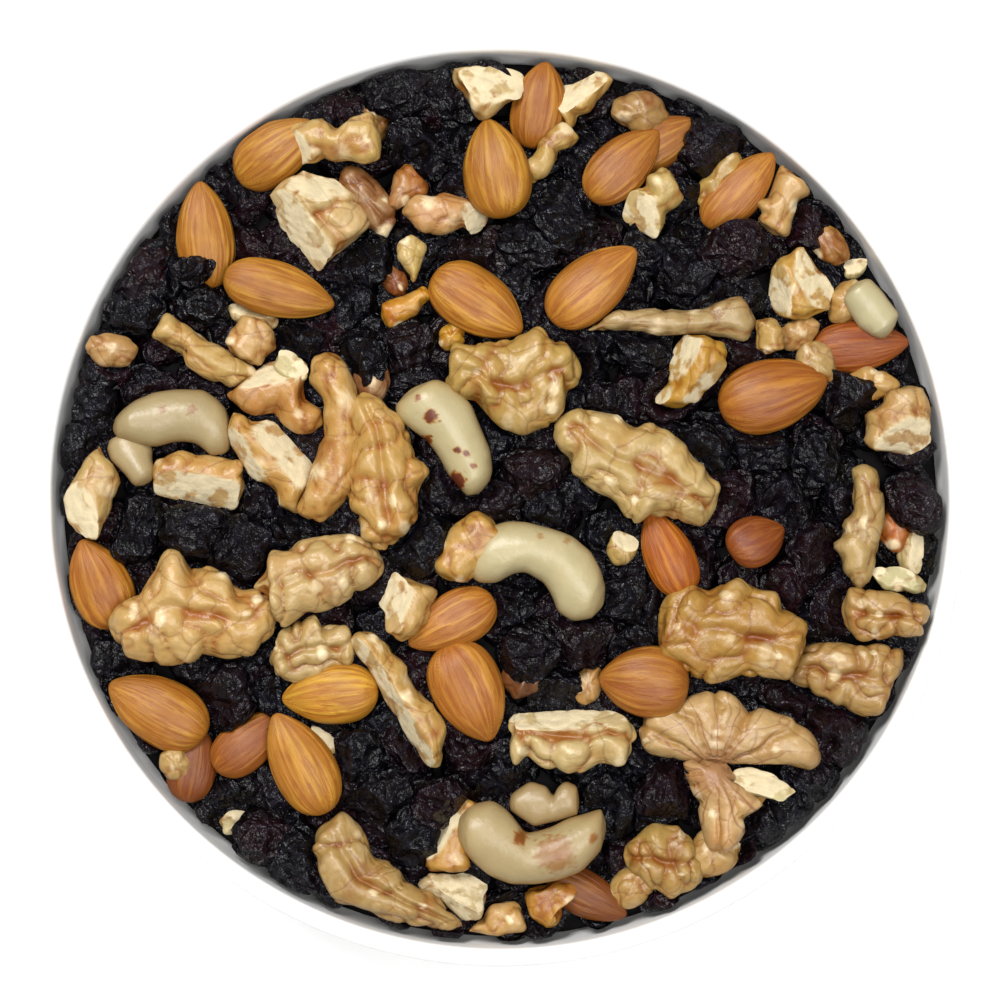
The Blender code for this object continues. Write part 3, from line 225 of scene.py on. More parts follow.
# outlines of the larger nuts as seen from above, by where they lie: points from the bowl's centre
outlines = {
    (31, 8): ((19, 21), (15, 20), (12, 16), (14, 11), (17, 9), (16, 7), (19, 4), (24, 1), (27, -1),
        (29, -4), (31, -5), (33, -3), (37, -4), (40, -5), (43, -5), (46, -6), (48, -3), (49, 1), (49, 4),
        (46, 6), (46, 8), (42, 10), (42, 12), (40, 14), (38, 16), (35, 17), (32, 17), (30, 16), (28, 18),
        (25, 19), (21, 20)),
    (3, 27): ((-10, 35), (-11, 30), (-12, 26), (-11, 24), (-9, 23), (-6, 23), (-2, 21), (-3, 19), (1, 16),
        (5, 15), (8, 16), (11, 17), (12, 19), (14, 21), (13, 24), (16, 25), (18, 27), (18, 30), (16, 34),
        (14, 36), (12, 36), (10, 38), (8, 39), (5, 37), (2, 36), (-3, 36), (-7, 35)),
    (-26.5, 7): ((-29, 24), (-27, 23), (-25, 20), (-22, 18), (-21, 16), (-20, 13), (-19, 10), (-17, 8),
        (-16, 6), (-18, 4), (-18, 1), (-18, -3), (-20, -6), (-22, -9), (-25, -11), (-28, -11), (-31, -8),
        (-31, -5), (-33, -2), (-34, 0), (-35, 4), (-34, 10), (-34, 15), (-34, 22), (-32, 24)),
    (-38.5, 15): ((-38, 34), (-42, 32), (-43, 27), (-40, 23), (-40, 15), (-43, 7), (-44, 2), (-46, -2),
        (-43, -5), (-38, -5), (-37, -2), (-33, 3), (-31, 10), (-31, 22), (-35, 31)),
    (-40.5, -18): ((-35, -8), (-40, -8), (-44, -9), (-48, -11), (-52, -12), (-52, -14), (-51, -16),
        (-54, -18), (-55, -20), (-51, -21), (-50, -24), (-50, -28), (-48, -28), (-44, -26), (-40, -25),
        (-37, -24), (-33, -21), (-30, -19), (-26, -16), (-26, -14), (-28, -11), (-31, -9)),
    (-69.5, -25.5): ((-88, -27), (-86, -23), (-81, -21), (-80, -19), (-78, -16), (-76, -13), (-74, -11),
        (-72, -12), (-72, -15), (-67, -15), (-62, -17), (-60, -20), (-55, -20), (-52, -22), (-50, -26),
        (-51, -30), (-54, -32), (-57, -35), (-63, -36), (-66, -35), (-71, -37), (-76, -37), (-80, -36),
        (-84, -35), (-86, -32), (-88, -30)),
    (52.5, -30): ((37, -23), (38, -21), (44, -19), (48, -21), (50, -19), (54, -18), (57, -20), (62, -21),
        (63, -24), (66, -26), (69, -28), (69, -31), (69, -35), (66, -37), (65, -40), (60, -40), (53, -40),
        (47, -41), (42, -39), (37, -36), (36, -32)),
    (-42, -34): ((-52, -35), (-49, -30), (-46, -27), (-42, -26), (-41, -28), (-35, -28), (-33, -31),
        (-33, -35), (-35, -38), (-38, -38), (-41, -40), (-46, -41), (-50, -40), (-52, -37)),
    (51.5, -53): ((31, -53), (32, -50), (34, -48), (35, -45), (38, -44), (41, -45), (44, -44), (47, -43),
        (51, -43), (54, -45), (55, -48), (58, -47), (60, -47), (62, -48), (66, -49), (70, -52), (72, -55),
        (73, -58), (72, -61), (70, -62), (65, -61), (60, -60), (52, -60), (45, -60), (40, -59), (35, -58),
        (33, -57)),
    (49.5, -70): ((41, -59), (42, -63), (44, -68), (45, -73), (46, -77), (48, -80), (50, -81), (53, -78),
        (54, -77), (56, -74), (57, -70), (61, -68), (58, -66), (54, -63), (51, -59), (46, -58)),
    (59, -64): ((51, -63), (53, -61), (57, -60), (61, -61), (64, -63), (67, -65), (65, -67), (63, -68),
        (57, -67), (54, -66)),
    (16, -54): ((2, -49), (4, -46), (8, -46), (13, -46), (18, -46), (20, -47), (23, -48), (25, -47),
        (28, -49), (30, -51), (31, -53), (30, -56), (28, -59), (26, -60), (23, -59), (20, -60), (18, -62),
        (16, -62), (13, -61), (10, -60), (7, -58), (5, -57), (4, -60), (3, -58), (3, -55), (2, -52)),
    (-22, -45): ((-34, -31), (-31, -29), (-28, -30), (-25, -33), (-23, -36), (-21, -38), (-22, -40),
        (-20, -41), (-19, -43), (-17, -45), (-14, -47), (-12, -51), (-13, -54), (-13, -57), (-14, -60),
        (-17, -60), (-19, -57), (-22, -53), (-24, -49), (-26, -46), (-27, -43), (-29, -39), (-31, -37),
        (-33, -34)),
    (-26, -87): ((-43, -81), (-41, -76), (-39, -73), (-37, -72), (-35, -73), (-32, -76), (-30, -80),
        (-29, -83), (-25, -84), (-22, -87), (-18, -90), (-15, -91), (-11, -95), (-8, -98), (-12, -99),
        (-20, -98), (-30, -95), (-38, -92), (-40, -89), (-42, -86), (-41, -83)),
    (-69, 4): ((-79, 4), (-78, 9), (-72, 11), (-65, 10), (-59, 9), (-58, 3), (-61, -3), (-66, -3),
        (-72, -1), (-78, 1)),
    (-92, 1): ((-99, 1), (-97, 4), (-94, 9), (-91, 13), (-90, 10), (-88, 8), (-86, 4), (-87, 1), (-89, -5),
        (-91, -9), (-94, -9), (-97, -7), (-99, -5)),
    (-22, -23): ((-24, -16), (-21, -18), (-15, -21), (-16, -26), (-19, -30), (-23, -32), (-26, -29),
        (-26, -25), (-29, -23), (-29, -19), (-26, -16)),
    (-8, -10): ((-15, -16), (-16, -14), (-13, -9), (-11, -6), (-8, -4), (-6, -3), (-3, -3), (-1, -5),
        (1, -9), (-1, -14), (-7, -18), (-12, -18)),
    (-52, 9): ((-61, 15), (-61, 17), (-60, 20), (-57, 19), (-55, 17), (-52, 18), (-48, 16), (-45, 13),
        (-41, 11), (-42, 8), (-44, 3), (-45, 0), (-44, -3), (-47, -3), (-50, -1), (-51, 2), (-54, 4),
        (-57, 5), (-58, 8), (-61, 11)),
    (-50.5, 24.5): ((-62, 23), (-59, 26), (-55, 29), (-53, 31), (-50, 34), (-46, 32), (-44, 30), (-45, 26),
        (-44, 23), (-40, 20), (-40, 17), (-43, 15), (-46, 15), (-49, 17), (-51, 20), (-55, 19), (-58, 20)),
    (-65.5, 34.5): ((-79, 37), (-77, 39), (-76, 43), (-73, 41), (-70, 39), (-66, 36), (-62, 34), (-57, 31),
        (-54, 28), (-61, 26), (-65, 27), (-68, 28), (-71, 30), (-72, 33), (-76, 35)),
    (-56, 37): ((-62, 36), (-61, 39), (-59, 41), (-55, 41), (-52, 40), (-51, 37), (-51, 34), (-54, 31),
        (-58, 31), (-61, 33)),
    (-41, 64): ((-52, 69), (-49, 69), (-48, 72), (-46, 73), (-44, 75), (-41, 73), (-37, 72), (-35, 70),
        (-33, 69), (-30, 64), (-31, 61), (-34, 58), (-37, 55), (-41, 52), (-43, 52), (-46, 55), (-48, 57),
        (-50, 60), (-50, 63), (-51, 67)),
    (-38, 80): ((-50, 80), (-48, 82), (-46, 85), (-43, 86), (-40, 86), (-38, 84), (-36, 84), (-33, 86),
        (-29, 87), (-27, 85), (-27, 82), (-26, 79), (-27, 76), (-30, 75), (-33, 76), (-36, 76), (-38, 76),
        (-40, 78), (-42, 76), (-45, 76), (-47, 75), (-49, 77)),
    (-21, 71): ((-24, 74), (-22, 76), (-20, 76), (-19, 74), (-17, 71), (-17, 69), (-20, 68), (-23, 66),
        (-26, 66), (-25, 70)),
    (-12, 64.5): ((-22, 66), (-20, 68), (-18, 69), (-15, 69), (-13, 70), (-10, 69), (-7, 68), (-6, 67),
        (-3, 67), (-1, 66), (-1, 63), (-3, 61), (-6, 60), (-8, 62), (-10, 61), (-13, 60), (-16, 60),
        (-18, 61), (-20, 63), (-22, 64)),
    (-20, 55): ((-23, 57), (-21, 60), (-19, 60), (-17, 57), (-18, 54), (-19, 50), (-20, 49), (-21, 52),
        (-23, 55)),
    (-21, 43.5): ((-27, 42), (-26, 45), (-23, 46), (-20, 47), (-18, 48), (-15, 47), (-15, 45), (-18, 44),
        (-19, 42), (-22, 40), (-24, 39), (-26, 40)),
    (12, 79): ((6, 74), (6, 77), (8, 79), (9, 82), (11, 84), (14, 86), (16, 85), (18, 82), (16, 80),
        (13, 79), (13, 77), (11, 74), (8, 72), (7, 72)),
    (-2, 91): ((-11, 98), (-10, 94), (-8, 92), (-6, 90), (-5, 87), (-3, 86), (-1, 88), (1, 90), (4, 91),
        (6, 94), (5, 98), (0, 99)),
    (19, 90): ((12, 98), (12, 92), (14, 88), (15, 85), (17, 85), (18, 88), (21, 89), (24, 93), (26, 96),
        (20, 98)),
    (34, 67): ((27, 62), (27, 65), (29, 69), (31, 70), (33, 70), (33, 73), (36, 75), (38, 75), (40, 71),
        (41, 68), (40, 66), (38, 65), (37, 62), (35, 60), (31, 61), (28, 61)),
    (63, 67): ((63, 75), (64, 77), (66, 75), (69, 72), (70, 70), (68, 68), (67, 65), (66, 61), (64, 60),
        (62, 61), (60, 63), (59, 65), (60, 66), (59, 68), (61, 69), (62, 72)),
    (68, 48.5): ((60, 45), (62, 49), (62, 52), (64, 55), (66, 56), (68, 57), (70, 55), (71, 52), (73, 51),
        (76, 49), (77, 48), (75, 45), (74, 43), (70, 41), (67, 41), (64, 42), (62, 44)),
    (39, 41): ((20, 38), (21, 39), (23, 41), (27, 43), (31, 43), (38, 43), (46, 43), (49, 45), (52, 46),
        (55, 46), (56, 44), (57, 42), (58, 40), (57, 37), (55, 36), (52, 37), (44, 37), (38, 37), (30, 38),
        (25, 38)),
    (43.5, 29): ((38, 34), (38, 26), (35, 23), (38, 21), (40, 21), (45, 23), (46, 25), (48, 26), (51, 30),
        (51, 33), (50, 36), (45, 37), (40, 37)),
    (61, 37): ((58, 38), (58, 40), (60, 41), (62, 41), (64, 38), (64, 35), (60, 33), (58, 35)),
    (90.5, 17): ((83, 19), (86, 21), (88, 24), (92, 26), (96, 26), (98, 20), (98, 14), (98, 9), (96, 7),
        (94, 8), (93, 11), (89, 11), (85, 12), (83, 14)),
    (82, -6): ((82, 8), (85, 7), (86, 4), (87, 0), (87, -5), (86, -9), (85, -14), (84, -18), (82, -20),
        (80, -19), (78, -16), (77, -12), (76, -10), (78, -9), (78, -5), (80, -4), (80, 1), (80, 4),
        (80, 7)),
    (86, -25): ((80, -20), (78, -23), (78, -27), (80, -30), (82, -32), (85, -32), (90, -31), (95, -30),
        (97, -24), (94, -23), (89, -21), (83, -20)),
    (79, -39): ((66, -38), (67, -41), (70, -43), (73, -45), (75, -46), (77, -47), (79, -46), (80, -48),
        (83, -49), (87, -48), (91, -40), (92, -34), (85, -33), (75, -32), (70, -34)),
    (37, -82): ((28, -81), (29, -78), (32, -76), (35, -74), (40, -74), (42, -76), (44, -79), (46, -82),
        (45, -86), (42, -89), (39, -90), (35, -88), (33, -86), (30, -84)),
    (-12, -77): ((-9, -66), (-7, -68), (-5, -70), (-7, -74), (-7, -79), (-7, -83), (-10, -84), (-15, -84),
        (-17, -84), (-17, -80), (-15, -75), (-13, -72), (-11, -69)),
    (-11, -88): ((-19, -87), (-16, -85), (-11, -85), (-8, -84), (-5, -84), (-3, -86), (-4, -92), (-5, -95),
        (-8, -96), (-10, -94), (-12, -92), (-15, -90), (-18, -89)),
    (0, -93): ((-7, -98), (-5, -96), (-2, -93), (2, -92), (4, -92), (5, -95), (5, -98), (0, -99)),
    (11, -92): ((6, -91), (6, -89), (9, -88), (11, -88), (13, -87), (17, -87), (18, -88), (16, -90),
        (13, -91), (14, -94), (12, -97), (10, -97), (7, -95)),
    (85, 43.5): ((79, 45), (80, 48), (82, 50), (85, 50), (88, 47), (91, 43), (90, 40), (88, 37), (85, 38),
        (82, 40), (80, 43)),
    (-13, 14): ((-23, 18.5), (-23.5, 21), (-21.5, 24), (-18, 26), (-14, 27), (-10, 25), (-6.5, 21.5),
        (-4.5, 16.5), (-2.5, 11.5), (-2, 7), (-3, 4), (-5, 1.5), (-7.5, 1), (-9.5, 3), (-11.5, 5.5),
        (-13, 8.5), (-15, 11.5), (-17, 14), (-20.5, 16.5)),
    (9, -15.5): ((-7, -14), (-5.5, -10), (-2.5, -6.5), (2, -5), (6.5, -5), (11.5, -6.5), (16, -8),
        (20, -11.5), (22.5, -15.5), (23.5, -21), (22.5, -25), (20, -26.5), (16, -27), (13.5, -25.5),
        (12.5, -22.5), (10.5, -19), (7, -17), (5, -16), (2, -16.5), (-1, -18.5), (-5, -18.5), (-7, -16.5)),
    (7, -79): ((-10, -76), (-9, -72), (-6, -69), (-2, -68), (1, -70), (3.5, -73), (5, -75.5), (6.5, -75.5),
        (9, -75), (12, -74), (16, -72), (20, -71), (23, -70), (24, -72), (24, -76), (22, -80), (18, -84),
        (13, -86), (8, -87), (3, -87), (-2, -85), (-6, -82)),
    (10, -69): ((2, -68), (4, -66), (7, -64), (10, -65), (12, -68), (13, -68), (13, -66), (15, -64),
        (17, -65), (18, -68), (18, -71), (15, -72), (12, -73), (8, -74), (5, -72), (2, -70)),
    (-74, 18): ((-87.5, 14.5), (-87.5, 17.5), (-85, 20.5), (-82, 23), (-78, 24.5), (-73, 25), (-68, 25),
        (-64.5, 23), (-62, 20), (-61, 17), (-61, 13), (-62.5, 10.5), (-65, 10), (-66.5, 11.5), (-68.5, 13),
        (-71.5, 13.5), (-75, 13), (-78, 12), (-83, 13)),
    (-84, 9.5): ((-89, 11), (-88.5, 13.5), (-87, 14.5), (-84, 15), (-81, 14), (-79, 12), (-79, 10),
        (-78.5, 7), (-79, 5), (-81.5, 3), (-83.5, 4), (-85, 6), (-87, 8), (-88.5, 9.5)),
}

# how each nut looks, by where it lies: its skin's colour, pale broken faces as way it faces, how deep and
# how steep, brown spots as x, y, size and strength, and the point that its creases spread from
nutLooks = {
    (-41, 64): {"skin": (214, 182, 136), "cuts": [(215, 0.55, 35), (80, 0.7, 40)]},
    (-38, 80): {"skin": (205, 168, 104), "cuts": [(225, 0.6, 40)]},
    (-12, 64.5): {"skin": (204, 152, 100), "cuts": [(-10, 0.55, 45)]},
    (-2, 91): {"skin": (206, 176, 126), "cuts": [(60, 0.45, 50)]},
    (19, 90): {"skin": (206, 164, 98), "cuts": [(120, 0.5, 40)]},
    (34, 67): {"skin": (203, 172, 112), "cuts": [(200, 0.35, 45)]},
    (68, 48.5): {"skin": (205, 160, 74), "cuts": [(20, 0.5, 50), (190, 0.6, 35)]},
    (43.5, 29): {"skin": (198, 148, 54), "cuts": [(150, 0.6, 40), (-40, 0.7, 35)]},
    (90.5, 17): {"skin": (202, 160, 104), "cuts": [(-60, 0.5, 45)]},
    (90, -18): {"skin": (196, 186, 146), "cuts": [(90, 0.3, 50)]},
    (94, -11): {"skin": (200, 176, 132), "cuts": [(0, 0.4, 50)]},
    (-11, -88): {"skin": (200, 176, 138), "cuts": [(60, 0.3, 55), (-120, 0.6, 30)]},
    (0, -93): {"skin": (206, 160, 100), "cuts": [(100, 0.5, 45)]},
    (-69, 4): {"skin": (206, 160, 96), "cuts": [(-100, 0.35, 50)]},
    (-92, 1): {"skin": (208, 172, 118), "cuts": [(210, 0.45, 45)]},
    (-56, 42): {"skin": (204, 180, 140), "cuts": [(90, 0.4, 50)]},
    (-32, 91): {"skin": (204, 182, 140), "cuts": [(90, 0.4, 50)]},
    (-22, -23): {"skin": (208, 166, 104), "cuts": [(165, 0.3, 40)]},
    (-22, -45): {"skin": (206, 164, 100), "cuts": [(212, 0.5, 40)]},
    (16, -54): {"skin": (210, 182, 134), "cuts": [(95, 0.62, 45)]},
    (59, -64): {"skin": (206, 192, 150), "cuts": [(60, 0.1, 60)]},
    (-52, 9): {"skin": (206, 158, 92), "cuts": [(40, 0.65, 40), (-150, 0.7, 35)]},
    (-50.5, 24.5): {"skin": (201, 146, 82), "cuts": [(100, 0.6, 45)]},
    (-47, 30): {"skin": (205, 190, 150), "cuts": [(50, 0.2, 60)]},
    (-12, -77): {"skin": (206, 156, 78), "cuts": [(150, 0.5, 45)]},
    (-60, -73): {"skin": (196, 180, 138), "cuts": [(80, 0.2, 55)]},
    (-40, -55): {"skin": (196, 186, 146), "cuts": [(60, 0.2, 55)]},
    (28, -10.5): {"skin": (198, 164, 104), "cuts": [(60, 0.3, 50)]},
    (-13, 14): {"skin": (215, 201, 160), "spots": [
        (-15.6, 18.8, 1.9, 1.0), (-18.3, 22.9, 0.9, 0.8), (-16.3, 13.6, 1.2, 0.9), (-9.5, 11.1, 1.0, 1.0),
        (-7.5, 10.4, 1.0, 1.0), (-6.1, 7.7, 0.9, 0.8), (-9.9, 4.1, 2.6, 1.0)]},
    (9, -15.5): {"skin": (216, 202, 162), "spots": [(9, -8, 1.0, 0.4), (15, -9, 1.0, 0.4)]},
    (7, -79): {"skin": (202, 180, 137), "spots": [
        (12.5, -79.5, 5.0, 0.5), (13, -80, 1.3, 0.64), (4.5, -76, 2.0, 0.75), (21, -76, 1.2, 0.6)]},
    (-74, 18): {"skin": (194, 174, 134), "spots": [(-76, 20.5, 1.2, 0.45), (-69.4, 20.5, 1.2, 0.45)]},
    (51.5, -53): {"skin": (188, 145, 90), "rays": (49, -61)},
    (49.5, -70): {"skin": (204, 158, 102), "rays": (49, -61)},
    (82, 54): {"skin": (206, 196, 160), "cuts": [(90, 0.1, 60)]},
}
for place, colour in {  # nuts that have only a colour of their own
    (-29, 27): (150, 104, 74), (-30, 68): (150, 100, 60), (-21, 71): (176, 112, 52),
    (-24, 50): (150, 92, 50), (-11, 37): (206, 152, 52), (-21, 43.5): (212, 152, 52),
    (-20, 55): (204, 172, 108), (-28, 88): (160, 112, 62), (32, 88): (176, 136, 86),
    (75, 58): (178, 128, 72), (83, 26): (196, 150, 86), (90, -6): (196, 108, 42),
    (72, 31): (190, 156, 104), (6, -40): (120, 74, 42), (20, -42): (186, 140, 84),
    (-8, -10): (206, 158, 86), (11, -92): (200, 146, 66), (-74, -60): (196, 158, 104),
    (61, 37): (200, 160, 98), (62, 24): (194, 124, 60), (38, -12): (206, 122, 50),
    (58, -9): (166, 92, 50), (-38.5, -44): (228, 170, 80), (-57, -55): (186, 116, 54),
    (-70, -60): (158, 92, 48), (82, 35): (180, 100, 48), (20, -90): (150, 88, 44),
    (36, 81): (190, 128, 70), (9, 91): (196, 130, 62), (-91, -19): (206, 138, 66),
    (85, 43.5): (214, 204, 168), (10, -69): (190, 164, 122), (31, 8): (202, 169, 115),
    (3, 27): (194, 156, 90), (-26.5, 7): (203, 158, 92), (-38.5, 15): (204, 156, 90),
    (-69.5, -25.5): (212, 170, 110), (-40.5, -18): (206, 172, 122), (52.5, -30): (186, 140, 70),
    (-26, -87): (184, 147, 94), (79, -39): (186, 146, 92), (39, 41): (186, 156, 114),
    (86, -25): (190, 148, 92), (37, -82): (186, 148, 88), (-42, -34): (198, 166, 116),
    (82, -6): (190, 156, 104), (-65.5, 34.5): (204, 166, 106), (-84, 9.5): (198, 176, 136),
}.items():
    nutLooks[place] = {"skin": colour}


def surfaceHeight(across):  # top of the core at a distance from the axis
    return heap["crown"] - (heap["crown"] - heap["edge"]) * (across / heap["edgeRadius"]) ** 2


def thicknessOf(kind, length, width):
    if kind == "cashew":
        return min(width, heap["cashewTube"] * length) * 0.85
    return heap["thickness"][kind] * width


side = np.arange(-heap["edgeRadius"], heap["edgeRadius"] + heap["gridStep"], heap["gridStep"])
gridX, gridY = np.meshgrid(side, side)
heights = surfaceHeight(np.hypot(gridX, gridY))


def surfacesOver(x, y, turning, radii):  # cells under a turned ellipsoid, and its underside and top there
    axes = np.array(turning)
    form = axes @ np.diag(1 / np.square(radii)) @ axes.T
    dx, dy = gridX - x, gridY - y
    lean = form[0, 2] * dx + form[1, 2] * dy
    flat = form[0, 0] * dx**2 + 2 * form[0, 1] * dx * dy + form[1, 1] * dy**2 - 1
    root = lean**2 - form[2, 2] * flat
    covered = root > 0
    root = np.sqrt(root[covered])
    return covered, (-lean[covered] - root) / form[2, 2], (-lean[covered] + root) / form[2, 2]


def leanOver(x, y, turn, radii):  # leans a piece with the slope of what is under it
    covered = surfacesOver(x, y, Matrix.Rotation(turn, 3, "Z"), radii)[0]
    dx, dy = gridX[covered] - x, gridY[covered] - y
    table = np.column_stack([dx, dy, np.ones_like(dx)])
    (riseX, riseY, _), *_ = np.linalg.lstsq(table, heights[covered], rcond=None)
    steep = math.hypot(riseX, riseY)
    angle = min(heap["lean"] * math.atan(steep), math.radians(heap["mostLean"]))
    axis = Vector((-riseY, riseX, 0)) if steep > 1e-6 else Vector((1, 0, 0))
    return Matrix.Rotation(-angle, 3, -axis.normalized())


def keptInside(x, y, turn, length, width):  # a piece that would reach past the wall moves straight in
    for _ in range(4):
        reach = 0.0
        for i in range(24):
            angle = 2 * math.pi * i / 24
            along, across = length / 2 * math.cos(angle), width / 2 * math.sin(angle)
            edgeX = x + along * math.cos(turn) - across * math.sin(turn)
            edgeY = y + along * math.sin(turn) + across * math.cos(turn)
            reach = max(reach, math.hypot(edgeX, edgeY))
        if reach <= heap["edgeRadius"]:
            break
        share = 1 - (reach - heap["edgeRadius"]) / math.hypot(x, y)
        x, y = x * share, y * share
    return x, y


def flatCover(x, y, turn, length, width):
    return surfacesOver(x, y, Matrix.Rotation(turn, 3, "Z"), (length / 2, width / 2, width / 2))[0]


def coveredBy(nuts):
    hidden = np.zeros_like(gridX, bool)
    for _, x, y, turn, length, width in nuts:
        hidden |= flatCover(x, y, math.radians(turn), length, width)
    return hidden


def raisinSpots():  # a jittered grid and a ring at the wall, less what would hide a nut or be hidden
    above = coveredBy(overRaisins)
    nuts = above | coveredBy(underRaisins)
    draw = random.Random(heap["seed"])
    tries = []
    for i in range(heap["raisinRing"]):
        angle = 2 * math.pi * (i + draw.uniform(-0.2, 0.2)) / heap["raisinRing"]
        reach = heap["edgeRadius"] - 6.5 + draw.uniform(-1, 1)
        turn = math.degrees(angle) + 90 + draw.uniform(-25, 25)
        length = draw.uniform(*heap["raisinLength"])
        tries.append((reach * math.cos(angle), reach * math.sin(angle), turn, length))
    rowGap = heap["raisinSpacing"] * math.sqrt(3) / 2
    rows = int(heap["edgeRadius"] / rowGap) + 1
    jitter = heap["raisinJitter"]
    for row in range(-rows, rows + 1):
        for column in range(-rows, rows + 1):
            x = (column + 0.5 * (row % 2)) * heap["raisinSpacing"] + draw.uniform(-jitter, jitter)
            y = row * rowGap + draw.uniform(-jitter, jitter)
            turn = draw.uniform(0, 180)
            length = draw.uniform(*heap["raisinLength"])
            if math.hypot(x, y) < heap["edgeRadius"] - 17:
                tries.append((x, y, turn, length))
    spots = []
    for x, y, turn, length in tries:
        width = length * heap["raisinAspect"]
        x, y = keptInside(x, y, math.radians(turn), length, width)
        covered = flatCover(x, y, math.radians(turn), length, width)
        if nuts[covered].mean() < heap["raisinHidden"]:
            spots.append(("raisin", x, y, turn, length, width, heap["raisinSink"] * above[covered].mean()))
    return spots


def sectionsOf(outline, x, y, turn):  # an outline's lower and upper edge at stations along the nut
    if outline is None:
        return None
    corners = np.array(outline) - (x, y)
    corners = corners @ np.array(((math.cos(turn), -math.sin(turn)), (math.sin(turn), math.cos(turn))))
    steps = np.linspace(0, 1, 24, endpoint=False)[:, None, None]
    edge = (corners + (np.roll(corners, -1, axis=0) - corners) * steps).reshape(-1, 2)
    first, last = edge[:, 0].min(), edge[:, 0].max()
    stations = np.linspace(first, last, 49)
    near = np.abs(edge[:, 0] - stations[:, None]) < max(0.6, (last - first) / 60)
    high = np.where(near, edge[:, 1], -np.inf).max(axis=1)
    low = np.where(near, edge[:, 1], np.inf).min(axis=1)
    weights = (0.25, 0.5, 0.25)
    for _ in range(2):  # rounds the corners
        low, high = (np.convolve(np.pad(side, 1, "edge"), weights, "valid") for side in (low, high))
    return stations, low, high


laid = []
for kind, spotX, spotY, turn, length, width, *sink in underRaisins + raisinSpots() + overRaisins:
    look = nutLooks.get((spotX, spotY), {})
    turn = math.radians(turn)
    cuts = sectionsOf(outlines.get((spotX, spotY)), spotX, spotY, turn)
    x, y = keptInside(spotX, spotY, turn, length, width)
    radii = (length / 2, width / 2, thicknessOf(kind, length, width) / 2)
    turning = leanOver(x, y, turn, radii) @ Matrix.Rotation(turn, 3, "Z")
    covered, under, top = surfacesOver(x, y, turning, radii)
    centre = float(np.quantile(heights[covered] - under, heap["touchShare"])) - heap["settle"] - sum(sink)
    heights[covered] = np.maximum(heights[covered], centre + top)
    laid.append({
        "kind": kind, "turning": np.array(turning), "turn": turn, "centre": np.array((x, y, centre)),
        "length": length, "width": width, "thick": radii[2] * 2, "look": look, "sections": cuts,
        "seed": len(laid) + 1, "order": len(laid) + 1,
    })
print("laid", len(laid), "pieces; top of the heap", round(float(heights.max()), 1), "mm")


def wallLimit(z):  # how far out a nut may reach at a height, clear of the bowl
    power = bowlSize["curvePower"]
    down = np.clip((rimTop - z) / innerDepth, 0, 1)
    inside = bowlSize["rimRadius"] * (1 - down**power) ** (1 / power)
    return np.minimum(heap["edgeRadius"], inside - heap["wallGap"])


# meshes made of many bodies

def ballMesh(cuts):  # a ball of even squares
    shape = bmesh.new()
    bmesh.ops.create_cube(shape, size=2)
    bmesh.ops.subdivide_edges(shape, edges=shape.edges, cuts=cuts - 1, use_grid_fill=True)
    for vertex in shape.verts:
        x, y, z = (math.tan(value * math.pi / 4) for value in vertex.co)
        vertex.co = Vector((x, y, z)).normalized()
    bmesh.ops.recalc_face_normals(shape, faces=shape.faces)
    mesh = bpy.data.meshes.new("ball")
    shape.to_mesh(mesh)
    shape.free()
    return mesh


def manyBodies(name, cuts, rows, shapeOf, material):
    ball = ballMesh(cuts)
    unit = np.array([vertex.co[:] for vertex in ball.vertices])
    shape = bmesh.new()
    for _ in rows:
        shape.from_mesh(ball)
    mesh = bpy.data.meshes.new(name)
    shape.to_mesh(mesh)
    shape.free()
    bpy.data.meshes.remove(ball)
    made = [shapeOf(row, unit) for row in rows]  # each gives its points in mm in place, and its marks
    points = np.concatenate([each["points"] for each in made])
    mesh.vertices.foreach_set("co", (points * mm).ravel())
    for mark in made[0]:
        if mark == "points":
            continue
        values = np.concatenate([each[mark] for each in made])
        if values.ndim == 1:
            mesh.attributes.new(mark, "FLOAT", "POINT").data.foreach_set("value", values)
        else:
            mesh.attributes.new(mark, "FLOAT_VECTOR", "POINT").data.foreach_set("vector", values.ravel())
    for face in mesh.polygons:
        face.use_smooth = True
    mesh.update()
    obj = bpy.data.objects.new(name, mesh)
    bpy.context.scene.collection.objects.link(obj)
    mesh.materials.append(material)
    print(name, len(rows), "bodies,", len(mesh.polygons) * 2, "triangles")
    return obj


def inPlace(row, local):  # from a nut's own frame to the bowl's, pressed in where the wall is near
    points = local @ row["turning"].T + row["centre"]
    reach = np.hypot(points[:, 0], points[:, 1])
    share = np.minimum(1, wallLimit(points[:, 2]) / np.maximum(reach, 1e-6))
    points[:, 0] *= share
    points[:, 1] *= share
    return points


def skinColour(row, nutLook, count):  # the nut's own colour or one near the usual, less the light's gain
    draw = random.Random(row["seed"] * 31)
    colour = row["look"].get("skin")
    if colour is None:
        usual, spread = nutLook["skin"], nutLook["spread"]
        change = draw.uniform(-spread, spread)
        warm = draw.uniform(-spread, spread) * 0.4
        colour = (usual[0] + change, usual[1] + change * 0.9 + warm, usual[2] + change * 0.7 - warm)
    return np.tile(np.array(srgb(*colour)) * nutLook["gain"], (count, 1))


